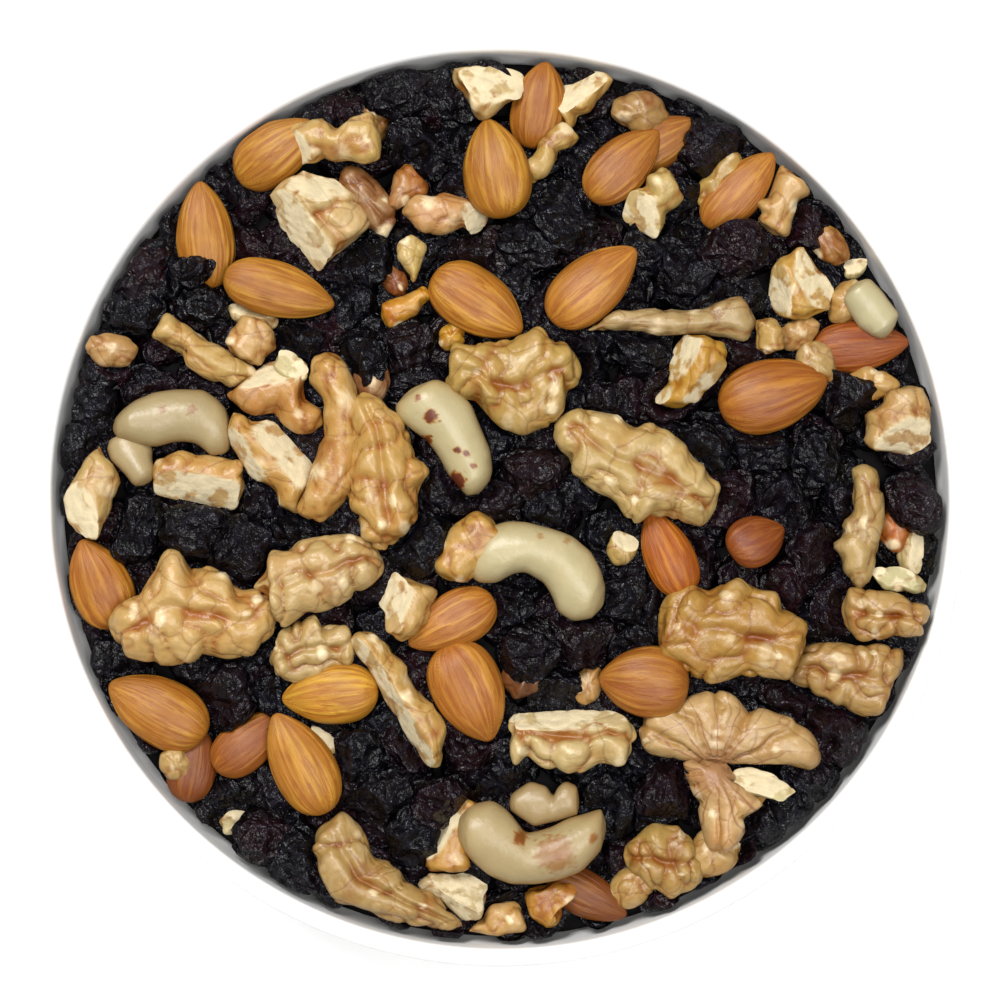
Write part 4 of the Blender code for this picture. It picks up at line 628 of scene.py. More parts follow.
def inOutline(row, unit, inset):  # a body that fills its outline, and how far its lobes stand out, in mm
    x, y, z = unit.T
    stations, low, high = row["sections"]
    along = stations[0] + (stations[-1] - stations[0]) * (x + 1) / 2
    section = np.sqrt(np.maximum(1e-8, 1 - x**2))
    lower, upper = np.interp(along, stations, low), np.interp(along, stations, high)
    reach = np.maximum((upper - lower) / 2 - inset, 0.15) * np.minimum(1, section / 0.35)
    rise = row["thick"] / 2 * np.minimum(1, reach / (0.3 * row["width"])) ** 0.6
    rise = rise * np.sqrt(np.maximum(0, 1 - x**8))
    side, top = y / section, z / section
    shrunk = 1 - inset / row["length"]
    local = np.column_stack((along * shrunk, (lower + upper) / 2 + side * reach, top * rise))
    shifts = np.linspace(-3, 3, 7)
    upperOut = upper - np.mean([np.interp(along + shift, stations, high) for shift in shifts], axis=0)
    lowerOut = np.mean([np.interp(along + shift, stations, low) for shift in shifts], axis=0) - lower
    relief = upperOut * eased(side, -0.1, 0.75) + lowerOut * eased(-side, -0.1, 0.75)
    return local, relief * eased(section, 0.1, 0.4)


def cutFaces(row, local):  # presses the body flat where it is broken, and says where
    pale = np.zeros(len(local))
    half = np.array((row["length"], row["width"], row["thick"])) / 2
    for faces, depth, steep in row["look"].get("cuts", []):
        angle = math.radians(faces) - row["turn"]
        rise = math.radians(steep)
        flat = math.cos(rise)
        normal = np.array((math.cos(angle) * flat, math.sin(angle) * flat, math.sin(rise)))
        reach = np.linalg.norm(normal * half)
        over = local @ normal - reach * depth
        rough = noiseAt(local / 2.2, row["seed"] + 5) * 0.5
        local = local - np.outer(np.clip(over + rough * 0.4, 0, None) * 0.93, normal)
        pale = np.maximum(pale, eased(over, -0.1, 0.5))
    return local, pale


# materials

def newMaterial(name):
    made = bpy.data.materials.new(name)
    made.use_nodes = True
    return made, made.node_tree, made.node_tree.nodes["Principled BSDF"]


def addNode(tree, kind, values=None, **settings):
    node = tree.nodes.new(kind)
    for key, value in settings.items():
        setattr(node, key, value)
    for key, value in (values or {}).items():
        node.inputs[key].default_value = value
    return node


def makeGroup(name, inputs, outputs):
    group = bpy.data.node_groups.new(name, "ShaderNodeTree")
    for label, kind in inputs:
        group.interface.new_socket(label, in_out="INPUT", socket_type=kind)
    for label, kind in outputs:
        group.interface.new_socket(label, in_out="OUTPUT", socket_type=kind)
    return group, group.nodes.new("NodeGroupInput"), group.nodes.new("NodeGroupOutput")


def fill(tree, socket, value):  # from another node's socket, a number or a colour
    if isinstance(value, bpy.types.NodeSocket):
        tree.links.new(value, socket)
    else:
        socket.default_value = value if isinstance(value, float) else (*value, 1)


def useGroup(tree, group, **values):
    node = addNode(tree, "ShaderNodeGroup", node_tree=group)
    for key, value in values.items():
        fill(tree, node.inputs[key], value)
    return node


def attributesOf(tree, **outputs):  # the marks that a shape gave its points, each by an output's name
    return [addNode(tree, "ShaderNodeAttribute", attribute_name=name).outputs[output]
            for name, output in outputs.items()]


def mixColours(tree, share, first, second, blend="MIX"):
    node = addNode(tree, "ShaderNodeMix", data_type="RGBA", blend_type=blend)
    for place, value in ((0, share), (6, first), (7, second)):
        fill(tree, node.inputs[place], value)
    return node.outputs[2]


def tinted(tree, colour, tint):  # a colour times another
    return mixColours(tree, 1.0, colour, srgb(*tint), "MULTIPLY")


def worked(tree, operation, *values):
    node = addNode(tree, "ShaderNodeMath", operation=operation)
    for socket, value in zip(node.inputs, values):
        fill(tree, socket, value)
    return node.outputs[0]


def remapped(tree, value, low, high, newLow, newHigh):
    node = addNode(tree, "ShaderNodeMapRange", {1: low, 2: high, 3: newLow, 4: newHigh})
    tree.links.new(value, node.inputs[0])
    return node.outputs[0]


# mottling: a soft light and dark cloudiness over a colour, from a nut's own coordinates in mm
mottle, mottleIn, mottleOut = makeGroup(
    "mottle",
    (("Where", "NodeSocketVector"), ("Colour", "NodeSocketColor"), ("Size", "NodeSocketFloat"),
     ("Dark", "NodeSocketFloat"), ("Light", "NodeSocketFloat")),
    (("Colour", "NodeSocketColor"), ("Cloud", "NodeSocketFloat")),
)
cloud = addNode(mottle, "ShaderNodeTexNoise", {"Detail": 4.0, "Roughness": 0.6})
mottle.links.new(mottleIn.outputs["Where"], cloud.inputs["Vector"])
mottle.links.new(mottleIn.outputs["Size"], cloud.inputs["Scale"])
cloudRange = addNode(mottle, "ShaderNodeMapRange", {1: 0.3, 2: 0.7})
mottle.links.new(cloud.outputs["Fac"], cloudRange.inputs[0])
mottle.links.new(mottleIn.outputs["Dark"], cloudRange.inputs[3])
mottle.links.new(mottleIn.outputs["Light"], cloudRange.inputs[4])
shaded = addNode(mottle, "ShaderNodeVectorMath", operation="SCALE")
mottle.links.new(mottleIn.outputs["Colour"], shaded.inputs[0])
mottle.links.new(cloudRange.outputs[0], shaded.inputs["Scale"])
mottle.links.new(shaded.outputs[0], mottleOut.inputs["Colour"])
mottle.links.new(cloud.outputs["Fac"], mottleOut.inputs["Cloud"])


def addBump(tree, shader, height, distance, strength=1.0):
    bump = addNode(tree, "ShaderNodeBump", {"Strength": strength, "Distance": distance})
    tree.links.new(height, bump.inputs["Height"])
    tree.links.new(bump.outputs[0], shader.inputs["Normal"])
    return bump


def scaledNoise(tree, where, scale, **settings):
    node = addNode(tree, "ShaderNodeTexNoise", {"Scale": scale, **settings.pop("values", {})}, **settings)
    tree.links.new(where, node.inputs["Vector"])
    return node.outputs["Fac"]


# turned bodies

def curvePoint(radius, depth, top, share):
    angle = share * math.pi / 2
    across = radius * math.cos(angle) ** (2 / bowlSize["curvePower"])
    return across, top - depth * math.sin(angle) ** (2 / bowlSize["curvePower"])


def turnedBody(name, profile, steps, material):  # a profile of radii and heights in mm, spun round the axis
    shape = bmesh.new()
    points = [shape.verts.new((x * mm, 0, z * mm)) for x, z in profile]
    edges = [shape.edges.new(pair) for pair in zip(points, points[1:])]
    bmesh.ops.spin(shape, geom=points + edges, axis=(0, 0, 1), cent=(0, 0, 0), angle=2 * math.pi,
                   steps=steps, use_merge=True)
    bmesh.ops.remove_doubles(shape, verts=shape.verts, dist=1e-6)
    bmesh.ops.recalc_face_normals(shape, faces=shape.faces)
    mesh = bpy.data.meshes.new(name)
    shape.to_mesh(mesh)
    shape.free()
    for face in mesh.polygons:
        face.use_smooth = True
    obj = bpy.data.objects.new(name, mesh)
    bpy.context.scene.collection.objects.link(obj)
    mesh.materials.append(material)
    return obj


# bowl

bowlLook = {
    "glaze": (0.88, 0.88, 0.87), "roughness": 0.4, "specular": 0.35, "steps": 160, "curveSteps": 28,
    "rimSteps": 10, "sharpAngle": 50,
}


def bowlProfile():
    size, steps, rimSteps = bowlSize, bowlLook["curveSteps"], bowlLook["rimSteps"]
    profile = [curvePoint(size["rimRadius"], innerDepth, rimTop, 1 - i / steps) for i in range(steps)]
    for i in range(rimSteps + 1):  # round the rim
        angle = math.pi * i / rimSteps
        profile.append((size["rimRadius"] + size["wall"] / 2 * (1 - math.cos(angle)),
                        rimTop + size["wall"] / 2 * math.sin(angle)))
    outer = size["rimRadius"] + size["wall"]
    depth = size["outerDepth"] - size["wall"] / 2
    last = math.acos((size["footRadius"] / outer) ** (size["curvePower"] / 2)) / (math.pi / 2)
    profile += [curvePoint(outer, depth, rimTop, last * i / steps) for i in range(1, steps + 1)]
    footOut, footIn = size["footRadius"], size["footRadius"] - size["footWidth"]
    bevel = size["footRound"]
    return profile + [(footOut, bevel), (footOut - bevel, 0.0), (footIn + bevel, 0.0), (footIn, bevel),
                      (footIn, size["footRecess"]), (0.0, size["footRecess"])]


glaze, tree, shader = newMaterial("whiteGlaze")
shader.inputs["Roughness"].default_value = bowlLook["roughness"]
shader.inputs["Specular IOR Level"].default_value = bowlLook["specular"]
where = addNode(tree, "ShaderNodeTexCoord").outputs["Object"]
cloudy = useGroup(tree, mottle, Where=where, Colour=bowlLook["glaze"], Size=22.0, Dark=0.97, Light=1.02)
tree.links.new(cloudy.outputs["Colour"], shader.inputs["Base Color"])
addBump(tree, shader, scaledNoise(tree, where, 60.0), 0.0001, 0.4)

bowl = turnedBody("glazedBowl", bowlProfile(), bowlLook["steps"], glaze)
bowl.data.set_sharp_from_angle(angle=math.radians(bowlLook["sharpAngle"]))
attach(bowl, "root")
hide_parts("bowl")
print("bowl made")

# core: the heap's inside, deeper fruit shown as a near-black sheet of painted shade between the nuts

coreLook = {
    # near black with little sheen: painted shade in the gaps
    "colour": (9, 7, 8), "roughness": 0.8, "specular": 0.1, "rings": 40, "steps": 120, "wallSteps": 24,
    "sunk": 3.0, "wallGap": 0.8, "lumpSize": 7.0, "lumpHeight": 2.4, "lumpBase": -1.6,
}
coreRadius = heap["edgeRadius"] - 1.2


def coreProfile():
    rings, steps = coreLook["rings"], coreLook["wallSteps"]
    across = [coreRadius * i / rings for i in range(rings + 1)]
    profile = [(radius, surfaceHeight(radius) - coreLook["sunk"]) for radius in across]
    wall = [curvePoint(bowlSize["rimRadius"], innerDepth, rimTop, i / steps) for i in range(steps + 1)]
    return profile + [(max(0.0, radius - coreLook["wallGap"]), height + coreLook["wallGap"])
                      for radius, height in wall if height < heap["edge"] - 3]


coreShadeMaterial, tree, shader = newMaterial("heapInsideShade")
shader.inputs["Roughness"].default_value = coreLook["roughness"]
shader.inputs["Specular IOR Level"].default_value = coreLook["specular"]
where = addNode(tree, "ShaderNodeTexCoord").outputs["Object"]
colour = srgb(*coreLook["colour"])
cloudy = useGroup(tree, mottle, Where=where, Colour=colour, Size=160.0, Dark=0.6, Light=1.3)
tree.links.new(cloudy.outputs["Colour"], shader.inputs["Base Color"])

core = turnedBody("heapCoreShade", coreProfile(), coreLook["steps"], coreShadeMaterial)
places = np.array([vertex.co[:] for vertex in core.data.vertices]) / mm
lumps = foldsAt(places / coreLook["lumpSize"], 3) * coreLook["lumpHeight"] + coreLook["lumpBase"]
for vertex, place, lump in zip(core.data.vertices, places, lumps):
    if place[2] > heap["edge"] - 2.5 and math.hypot(place[0], place[1]) < coreRadius - 1:
        vertex.co.z += lump * mm
core.data.update()
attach(core, "root")
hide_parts("trail_mix")
print("core made")

# raisins

raisinLook = {
    # of these colours the bluish grey is a painted highlight on the folds and the near black a painted shade
    # for the lower sides and the hollows
    "skin": (9, 8, 13), "ridge": (30, 30, 42), "purple": (27, 8, 13), "shadeColour": (2, 1, 2), "specular": 0.22,
    "grow": 1.13, "wrinkle": 1.4, "fineWrinkle": 0.5, "foldSize": (8.5, 4.2, 5.0), "fineSize": 2.8,
    "sides": 8, "tuckGap": 0.3, "tuckSlope": 1.6, "tuckDepth": 0.15,
}
lowLayer = {
    "ring": 52, "ringInset": 6, "ringAbove": 1.4, "spacing": 12.4, "inset": 10, "above": -2.4,
    "width": 0.85, "thick": 0.62, "seed": 700,
}


def tuckedUnder(row, points):  # presses a raisin down where a nut that was laid after it covers it
    for nut in laid[row["order"]:]:
        half = np.array((nut["length"], nut["width"])) / 2
        if nut["kind"] == "raisin" or np.linalg.norm((nut["centre"] - row["centre"])[:2]) > half[0] + 12:
            continue
        along, across, up = ((points - nut["centre"]) @ nut["turning"]).T
        if nut["sections"]:
            stations, low, high = nut["sections"]
            lower, upper = np.interp(along, stations, low), np.interp(along, stations, high)
            outside = np.maximum(np.abs(across - (lower + upper) / 2) - (upper - lower) / 2,
                                 np.maximum(stations[0] - along, along - stations[-1]))
        else:
            outside = (np.hypot(along / half[0], across / half[1]) - 1) * half[1]
        highest = raisinLook["tuckSlope"] * np.maximum(0, outside - raisinLook["tuckGap"])
        highest -= raisinLook["tuckDepth"] * nut["thick"]
        points = points - np.outer(np.maximum(0, up - highest), nut["turning"][:, 2])
    return points


def raisinShape(row, unit):
    half = np.array((row["length"], row["width"], row["thick"])) / 2
    seed = row["seed"] * 13
    offset = np.array((seed * 1.7, seed * 0.9, seed * 2.3)) % 97
    draw = random.Random(seed)
    purple = draw.random() ** 3
    local = unit * half * raisinLook["grow"] * (1 + 0.25 * noiseAt(unit * 1.3 + offset, seed))[:, None]
    for _ in range(raisinLook["sides"]):  # sides that fell in as it dried
        facing = np.array([draw.gauss(0, 1) for _ in range(3)])
        facing /= np.linalg.norm(facing)
        over = local @ facing - np.linalg.norm(facing * half) * draw.uniform(0.66, 0.95)
        local = local - np.outer(np.clip(over, 0, None) * 0.8, facing)
    warp = noiseAt(local / 6 + offset, seed + 1)
    wide = foldsAt(local / np.array(raisinLook["foldSize"]) + offset + warp[:, None] * 0.8, seed + 2)
    fine = ridgesAt(local / raisinLook["fineSize"] + offset, seed + 3)
    rise = raisinLook["wrinkle"] * (wide - 0.8) + raisinLook["fineWrinkle"] * (fine - 0.5)
    local = local + unit * rise[:, None]
    return {
        "points": tuckedUnder(row, inPlace(row, local)),
        "own": local + offset,
        # where the painted highlight on the folds goes
        "ridge": np.clip(wide * 0.7 + fine * 0.3, 0, 1),
        # painted shade, darker towards the lower side of each raisin
        "shade": eased(-unit[:, 2], -0.8, 0.0),
        "purple": np.full(len(unit), purple),
    }


raisinSkin, tree, shader = newMaterial("raisinSkin")
shader.inputs["Specular IOR Level"].default_value = raisinLook["specular"]
own, shade, ridge, purple = attributesOf(tree, own="Vector", shade="Fac", ridge="Fac", purple="Fac")
skin = mixColours(tree, purple, srgb(*raisinLook["skin"]), srgb(*raisinLook["purple"]))
# painted highlight on the tops of the folds
skin = mixColours(tree, remapped(tree, ridge, 0.8, 1.0, 0.0, 0.3), skin, srgb(*raisinLook["ridge"]))
cloudy = useGroup(tree, mottle, Where=own, Colour=skin, Size=0.35, Dark=0.55, Light=1.35)


def wrinkleNet(tree, own, scale, wander):  # raised lines that close round flat cells, from 0 to 1
    bend = addNode(tree, "ShaderNodeTexNoise", {"Scale": scale * 0.9, "Detail": 2.0})
    tree.links.new(own, bend.inputs["Vector"])
    shift = addNode(tree, "ShaderNodeVectorMath", operation="MULTIPLY_ADD")
    tree.links.new(bend.outputs["Color"], shift.inputs[0])
    shift.inputs[1].default_value = (wander, wander, wander)
    tree.links.new(own, shift.inputs[2])
    cells = addNode(tree, "ShaderNodeTexVoronoi", {"Scale": scale}, feature="DISTANCE_TO_EDGE")
    tree.links.new(shift.outputs[0], cells.inputs["Vector"])
    return remapped(tree, cells.outputs["Distance"], 0.0, 0.28, 1.0, 0.0)


coarse = wrinkleNet(tree, own, 0.2, 5.0)
thin = wrinkleNet(tree, own, 0.7, 2.4)
height = worked(tree, "MULTIPLY_ADD", thin, 0.16, coarse)
swells = scaledNoise(tree, own, 0.32, values={"Detail": 2.0, "Roughness": 0.45})
soft = worked(tree, "MULTIPLY_ADD", swells, 1.6, height)
raisinShade, raisinHighlight = srgb(*raisinLook["shadeColour"]), srgb(*raisinLook["ridge"])
# painted shade in the hollows between the wrinkle lines
colour = mixColours(tree, remapped(tree, height, 0.0, 0.5, 0.7, 0.0), cloudy.outputs["Colour"], raisinShade)
# painted highlight on the raised wrinkle lines
colour = mixColours(tree, remapped(tree, height, 0.85, 1.1, 0.0, 0.35), colour, raisinHighlight)
# painted shade on the lower sides
colour = mixColours(tree, remapped(tree, shade, 0.0, 1.0, 0.0, 0.85), colour, raisinShade)
tree.links.new(colour, shader.inputs["Base Color"])
tree.links.new(remapped(tree, cloudy.outputs["Cloud"], 0.3, 0.7, 0.38, 0.18), shader.inputs["Roughness"])
addBump(tree, shader, soft, 0.0014, 0.8)


def lowRaisins():  # a layer under the ones that show and a ring at the wall, so that every gap ends on fruit
    draw = random.Random(5)
    rows = []

    def addRow(x, y, turn, length, above):
        width = length * lowLayer["width"]
        x, y = keptInside(x, y, turn, length, width)
        rows.append({
            "kind": "raisin", "turning": np.array(Matrix.Rotation(turn, 3, "Z")), "turn": turn, "look": {},
            "centre": np.array((x, y, surfaceHeight(math.hypot(x, y)) + above)), "length": length,
            "width": width, "thick": length * lowLayer["thick"], "order": 0,
            "seed": lowLayer["seed"] + len(rows),
        })

    for i in range(lowLayer["ring"]):
        angle = 2 * math.pi * (i + draw.uniform(-0.2, 0.2)) / lowLayer["ring"]
        reach = heap["edgeRadius"] - lowLayer["ringInset"]
        turn = angle + math.pi / 2 + draw.uniform(-0.3, 0.3)
        length = draw.uniform(13, 15.5)
        addRow(reach * math.cos(angle), reach * math.sin(angle), turn, length, lowLayer["ringAbove"])
    spacing = lowLayer["spacing"]
    rowGap = spacing * math.sqrt(3) / 2
    count = int(97 / rowGap) + 1
    for row in range(-count, count + 1):
        for column in range(-count, count + 1):
            x = (column + 0.5 * (row % 2)) * spacing + 5 + draw.uniform(-2, 2)
            y = row * rowGap + 4 + draw.uniform(-2, 2)
            length = draw.uniform(13, 16)
            turn = draw.uniform(0, math.pi)
            if math.hypot(x, y) < heap["edgeRadius"] - lowLayer["inset"]:
                addRow(x, y, turn, length, lowLayer["above"])
    return rows


bodyCuts = {"raisins": 13, "raisinsBelow": 6, "almonds": 20, "halves": 34, "pieces": 16, "cashews": 42}

raisins = [row for row in laid if row["kind"] == "raisin"]
raisinPiece = manyBodies("raisins", bodyCuts["raisins"], raisins, raisinShape, raisinSkin)
lowPiece = manyBodies("raisinsBelow", bodyCuts["raisinsBelow"], lowRaisins(), raisinShape, raisinSkin)
for piece in (raisinPiece, lowPiece):
    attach(piece, "root")
    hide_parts("trail_mix")

# almonds

almondLook = {
    "skin": (208, 144, 74), "spread": 10, "gain": (0.61, 0.62, 0.28), "shade": (204, 164, 140),
    "lightLine": (204, 152, 78), "furrow": 0.22, "roughness": 0.42, "specular": 0.35,
}


def almondShape(row, unit):
    x, y, z = unit.T
    tip = np.clip(x, 0, 1)
    taper = 1.06 - 0.20 * x - 0.20 * tip**3
    square = 1 + 0.10 * np.abs(x) ** 3 * (x < 0)
    local = np.column_stack((x * row["length"] / 2, y * taper * square * row["width"] / 2,
                             z * taper * square * row["thick"] / 2))
    seed = row["seed"] * 17
    offset = np.array((seed * 1.3, seed * 0.7, seed * 1.9)) % 83
    girth = np.maximum(np.hypot(y, z), 1e-4)
    around = np.column_stack((y / girth, z / girth))
    streak = np.column_stack((around * 2.6, x * 0.55 + 0.25 * noiseAt(unit * 2 + offset, seed)))
    furrows = ridgesAt(streak * np.array((1.6, 1.6, 1.0)) + offset, seed + 1)
    fade = eased(girth, 0.15, 0.5)
    push = -almondLook["furrow"] * furrows * fade + 0.35 * noiseAt(local / 7 + offset, seed + 2)
    local = local + unit * push[:, None]
    return {
        "points": inPlace(row, local),
        "own": local + offset,
        "streak": streak + offset,
        "furrow": furrows * fade,
        "skin": skinColour(row, almondLook, len(unit)),
        "ends": np.abs(x) ** 6,
    }


almondSkin, tree, shader = newMaterial("almondSkin")
own, skin, streak = attributesOf(tree, own="Vector", skin="Color", streak="Vector")
furrow, ends = attributesOf(tree, furrow="Fac", ends="Fac")
darker = tinted(tree, skin, almondLook["shade"])
lines = scaledNoise(tree, streak, 2.4, values={"Detail": 5.0, "Roughness": 0.65})
colour = mixColours(tree, remapped(tree, lines, 0.38, 0.53, 0.85, 0.0), skin, darker)
colour = mixColours(tree, remapped(tree, furrow, 0.25, 0.95, 0.0, 0.75), colour, darker)
colour = mixColours(tree, remapped(tree, ends, 0.3, 1.0, 0.0, 0.7), colour, darker)
lightLines = scaledNoise(tree, streak, 3.7, values={"Detail": 3.0, "Roughness": 0.5})
lightLine = srgb(*almondLook["lightLine"])
colour = mixColours(tree, remapped(tree, lightLines, 0.58, 0.76, 0.0, 0.06), colour, lightLine)
cloudy = useGroup(tree, mottle, Where=own, Colour=colour, Size=0.22, Dark=0.9, Light=1.08)
tree.links.new(cloudy.outputs["Colour"], shader.inputs["Base Color"])
shader.inputs["Roughness"].default_value = almondLook["roughness"]
shader.inputs["Specular IOR Level"].default_value = almondLook["specular"]
addBump(tree, shader, lines, 0.0005, 0.55)

almonds = [row for row in laid if row["kind"] == "almond"]
almondPiece = manyBodies("almonds", bodyCuts["almonds"], almonds, almondShape, almondSkin)
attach(almondPiece, "root")
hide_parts("trail_mix")

# walnuts

walnutLook = {
    "skin": (200, 158, 100), "spread": 10, "gain": (0.63, 0.63, 0.50), "roughness": 0.36,
    # the tint for the creases is painted shade and the light mix for the tops of the folds a painted
    # highlight
    "brokenRoughness": 0.7, "shadeColour": (204, 146, 84), "light": (198, 172, 128), "amber": (246, 208, 160),
    "vein": (172, 112, 62), "worn": (216, 196, 156), "flesh": (206, 190, 154), "ray": (128, 78, 50),
    "foldSize": {
        "half": (6.6, 9.5, 8.0), "strip": (6.0, 8.0, 8.0), "shard": (8.5, 7.5, 8.0), "lobe": (8.0, 8.0, 8.0),
    },
    "foldHeight": {"half": 1.6, "strip": 1.0, "shard": 0.9, "lobe": 0.6},
    "smallSize": 3.8, "smallHeight": 0.28, "swellHeight": 0.7, "grooveDepth": 1.3, "creases": 6,
    "creaseDepth": 1.2, "rays": 9.0, "wornArea": 30.0, "wornHeight": 0.25, "inset": 0.3,
}


def walnutShape(row, unit):
    x, y, z = unit.T
    kind = row["kind"]
    seed = row["seed"] * 19
    offset = np.array((seed * 0.7, seed * 1.9, seed * 1.1)) % 89
    half = np.array((row["length"], row["width"], row["thick"])) / 2
    if row["sections"]:
        local, relief = inOutline(row, unit, walnutLook["inset"])
    else:
        azimuth = np.arctan2(y, x)
        circle = (np.cos(azimuth) * 1.5, np.sin(azimuth) * 1.5, np.full(len(x), seed * 0.37))
        relief = noiseAt(np.column_stack(circle) + offset, seed)
        local = unit * (half - walnutLook["inset"]) * (1 + 0.16 * relief)[:, None]
    normal = unit / half
    normal = normal / np.linalg.norm(normal, axis=1)[:, None]
    warp = np.column_stack([noiseAt(local / 7 + offset + 11 * k, seed + k) for k in (1, 2, 3)])
    folds = foldsAt(local / np.array(walnutLook["foldSize"][kind]) + offset + warp * 0.35, seed + 4)
    small = foldsAt(local / walnutLook["smallSize"] + offset + warp * 0.3, seed + 5)
    swell = noiseAt(local / 9 + offset, seed + 6)
    rise = walnutLook["foldHeight"][kind] * (folds - 0.6) + walnutLook["smallHeight"] * (small - 0.5)
    rise = rise + walnutLook["swellHeight"] * swell
    rise = rise + np.clip(relief, -1.2, 1.0) * 0.8 * eased(z, -0.1, 0.2)
    folds = np.minimum(folds, 1 + np.clip(relief, -1.0, 0) * 0.9)
    groove, fan = np.zeros(len(x)), np.zeros((len(x), 3))
    if "rays" in row["look"]:  # smooth, with creases that spread from one point
        rayX, rayY = ((local @ row["turning"].T + row["centre"])[:, :2] - row["look"]["rays"]).T
        away = np.hypot(rayX, rayY)
        bearing = np.arctan2(rayY, rayX) + 0.22 * noiseAt(local / 6 + offset, seed + 8)
        ray = 1 - eased(np.abs(np.sin(bearing * walnutLook["creases"])), 0.0, 0.6)
        ray = ray * eased(away, 0, 4) * (1 - eased(away, 12, 30))
        rise = rise * 0.25 - walnutLook["creaseDepth"] * ray
        folds, small = 1 - ray * 0.4, 1.0
        fan = np.column_stack((rayX, rayY, np.ones(len(x))))
    elif kind == "half":
        spine = y - 0.22 * noiseAt(np.column_stack((x * 1.8, x * 0, x * 0)) + offset, seed + 7)
        groove = np.exp(-((spine / 0.14) ** 2)) * (z > 0) * (1 - x**2) ** 0.5
        rise = rise - walnutLook["grooveDepth"] * groove
    local = local + normal * rise[:, None]
    draw = random.Random(seed)
    worn = np.zeros(len(x))
    for _ in range(int(half[0] * half[1] / walnutLook["wornArea"]) + 1):  # small pale knobs on the upper side
        spotX, spotY = draw.uniform(-0.9, 0.9) * half[0], draw.uniform(-0.9, 0.9) * half[1]
        away = np.hypot(local[:, 0] - spotX, (local[:, 1] - spotY) * draw.uniform(0.6, 1.7))
        away = away / draw.uniform(0.9, 2.2)
        worn = np.maximum(worn, (1 - eased(away, 0.5, 1.0)) * (z > 0.1) * draw.uniform(0.35, 1.0))
    local = local + normal * (worn * walnutLook["wornHeight"])[:, None]
    local, pale = cutFaces(row, local)
    return {
        "points": inPlace(row, local),
        "own": local + offset,
        # low in the creases, where shade is painted, and high on the tops of the folds, where highlight is
        # painted
        "crease": np.clip(folds * 0.8 + small * 0.2 - groove * 0.4, 0, 1),
        "worn": worn,
        "pale": pale,
        "fan": fan,
        "skin": skinColour(row, walnutLook, len(unit)),
    }


walnutSkin, tree, shader = newMaterial("walnutSkin")
own, skin, fan = attributesOf(tree, own="Vector", skin="Color", fan="Vector")
crease, worn, pale = attributesOf(tree, crease="Fac", worn="Fac", pale="Fac")
# a lighter and a darker copy of the skin, for painted highlight and painted shade
light = mixColours(tree, 0.45, skin, srgb(*walnutLook["light"]))
shadeColour = tinted(tree, skin, walnutLook["shadeColour"])
# painted shade in the creases
colour = mixColours(tree, remapped(tree, crease, 0.15, 0.62, 0.0, 1.0), shadeColour, skin)
# painted highlight on the tops of the folds
colour = mixColours(tree, remapped(tree, crease, 0.8, 1.0, 0.0, 0.7), colour, light)
stains = scaledNoise(tree, own, 0.14, values={"Detail": 3.0})
stained = tinted(tree, skin, walnutLook["amber"])
colour = mixColours(tree, remapped(tree, stains, 0.5, 0.72, 0.0, 0.5), colour, stained)
veins = wrinkleNet(tree, own, 0.08, 11.0)
colour = mixColours(tree, remapped(tree, veins, 0.90, 0.99, 0.0, 0.4), colour,
                    tinted(tree, skin, walnutLook["vein"]))
colour = mixColours(tree, worn, colour, srgb(*walnutLook["worn"]))
cloudy = useGroup(tree, mottle, Where=own, Colour=colour, Size=0.5, Dark=0.9, Light=1.06)
flesh = useGroup(tree, mottle, Where=own, Colour=srgb(*walnutLook["flesh"]), Size=0.4, Dark=0.86, Light=1.08)
patches = remapped(tree, scaledNoise(tree, own, 0.22, values={"Detail": 3.0}), 0.40, 0.48, 0.15, 1.0)
bare = worked(tree, "MULTIPLY", pale, patches)
colour = mixColours(tree, bare, cloudy.outputs["Colour"], flesh.outputs["Colour"])
parts = addNode(tree, "ShaderNodeSeparateXYZ")  # from where the rays start, and whether there are any
tree.links.new(fan, parts.inputs[0])
distance = addNode(tree, "ShaderNodeVectorMath", operation="LENGTH")
tree.links.new(fan, distance.inputs[0])
away = distance.outputs["Value"]
bearing = worked(tree, "ARCTAN2", parts.outputs["Y"], parts.outputs["X"])
bend = scaledNoise(tree, own, 0.15, values={"Detail": 1.0})
turns = worked(tree, "MULTIPLY", worked(tree, "MULTIPLY_ADD", bend, 0.28, bearing), walnutLook["rays"])
swing = worked(tree, "ABSOLUTE", worked(tree, "SINE", turns))
spread = worked(tree, "MULTIPLY", swing, away)  # lines as thin far out as near
fading = worked(tree, "MULTIPLY", remapped(tree, spread, 0.6, 2.6, 0.75, 0.0),
                remapped(tree, away, 10.0, 26.0, 1.0, 0.0))
rays = worked(tree, "MAXIMUM", fading, remapped(tree, away, 2.0, 9.0, 0.6, 0.0))
shown = worked(tree, "MULTIPLY", rays, parts.outputs["Z"])
colour = mixColours(tree, shown, colour, srgb(*walnutLook["ray"]))
tree.links.new(colour, shader.inputs["Base Color"])
rough = remapped(tree, pale, 0.0, 1.0, walnutLook["roughness"], walnutLook["brokenRoughness"])
tree.links.new(rough, shader.inputs["Roughness"])
fine = scaledNoise(tree, own, 0.5, values={"Detail": 4.0, "Roughness": 0.5})
grain = worked(tree, "MULTIPLY_ADD", remapped(tree, veins, 0.7, 1.0, 0.0, 1.0), -0.35, fine)
addBump(tree, shader, grain, 0.0004, 0.7)

halves = [row for row in laid if row["kind"] == "half"]
scraps = [row for row in laid if row["kind"] in ("strip", "shard", "lobe")]
halfPiece = manyBodies("walnutHalves", bodyCuts["halves"], halves, walnutShape, walnutSkin)
scrapPiece = manyBodies("walnutPieces", bodyCuts["pieces"], scraps, walnutShape, walnutSkin)
for piece in (halfPiece, scrapPiece):
    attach(piece, "root")
    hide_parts("trail_mix")

# cashews

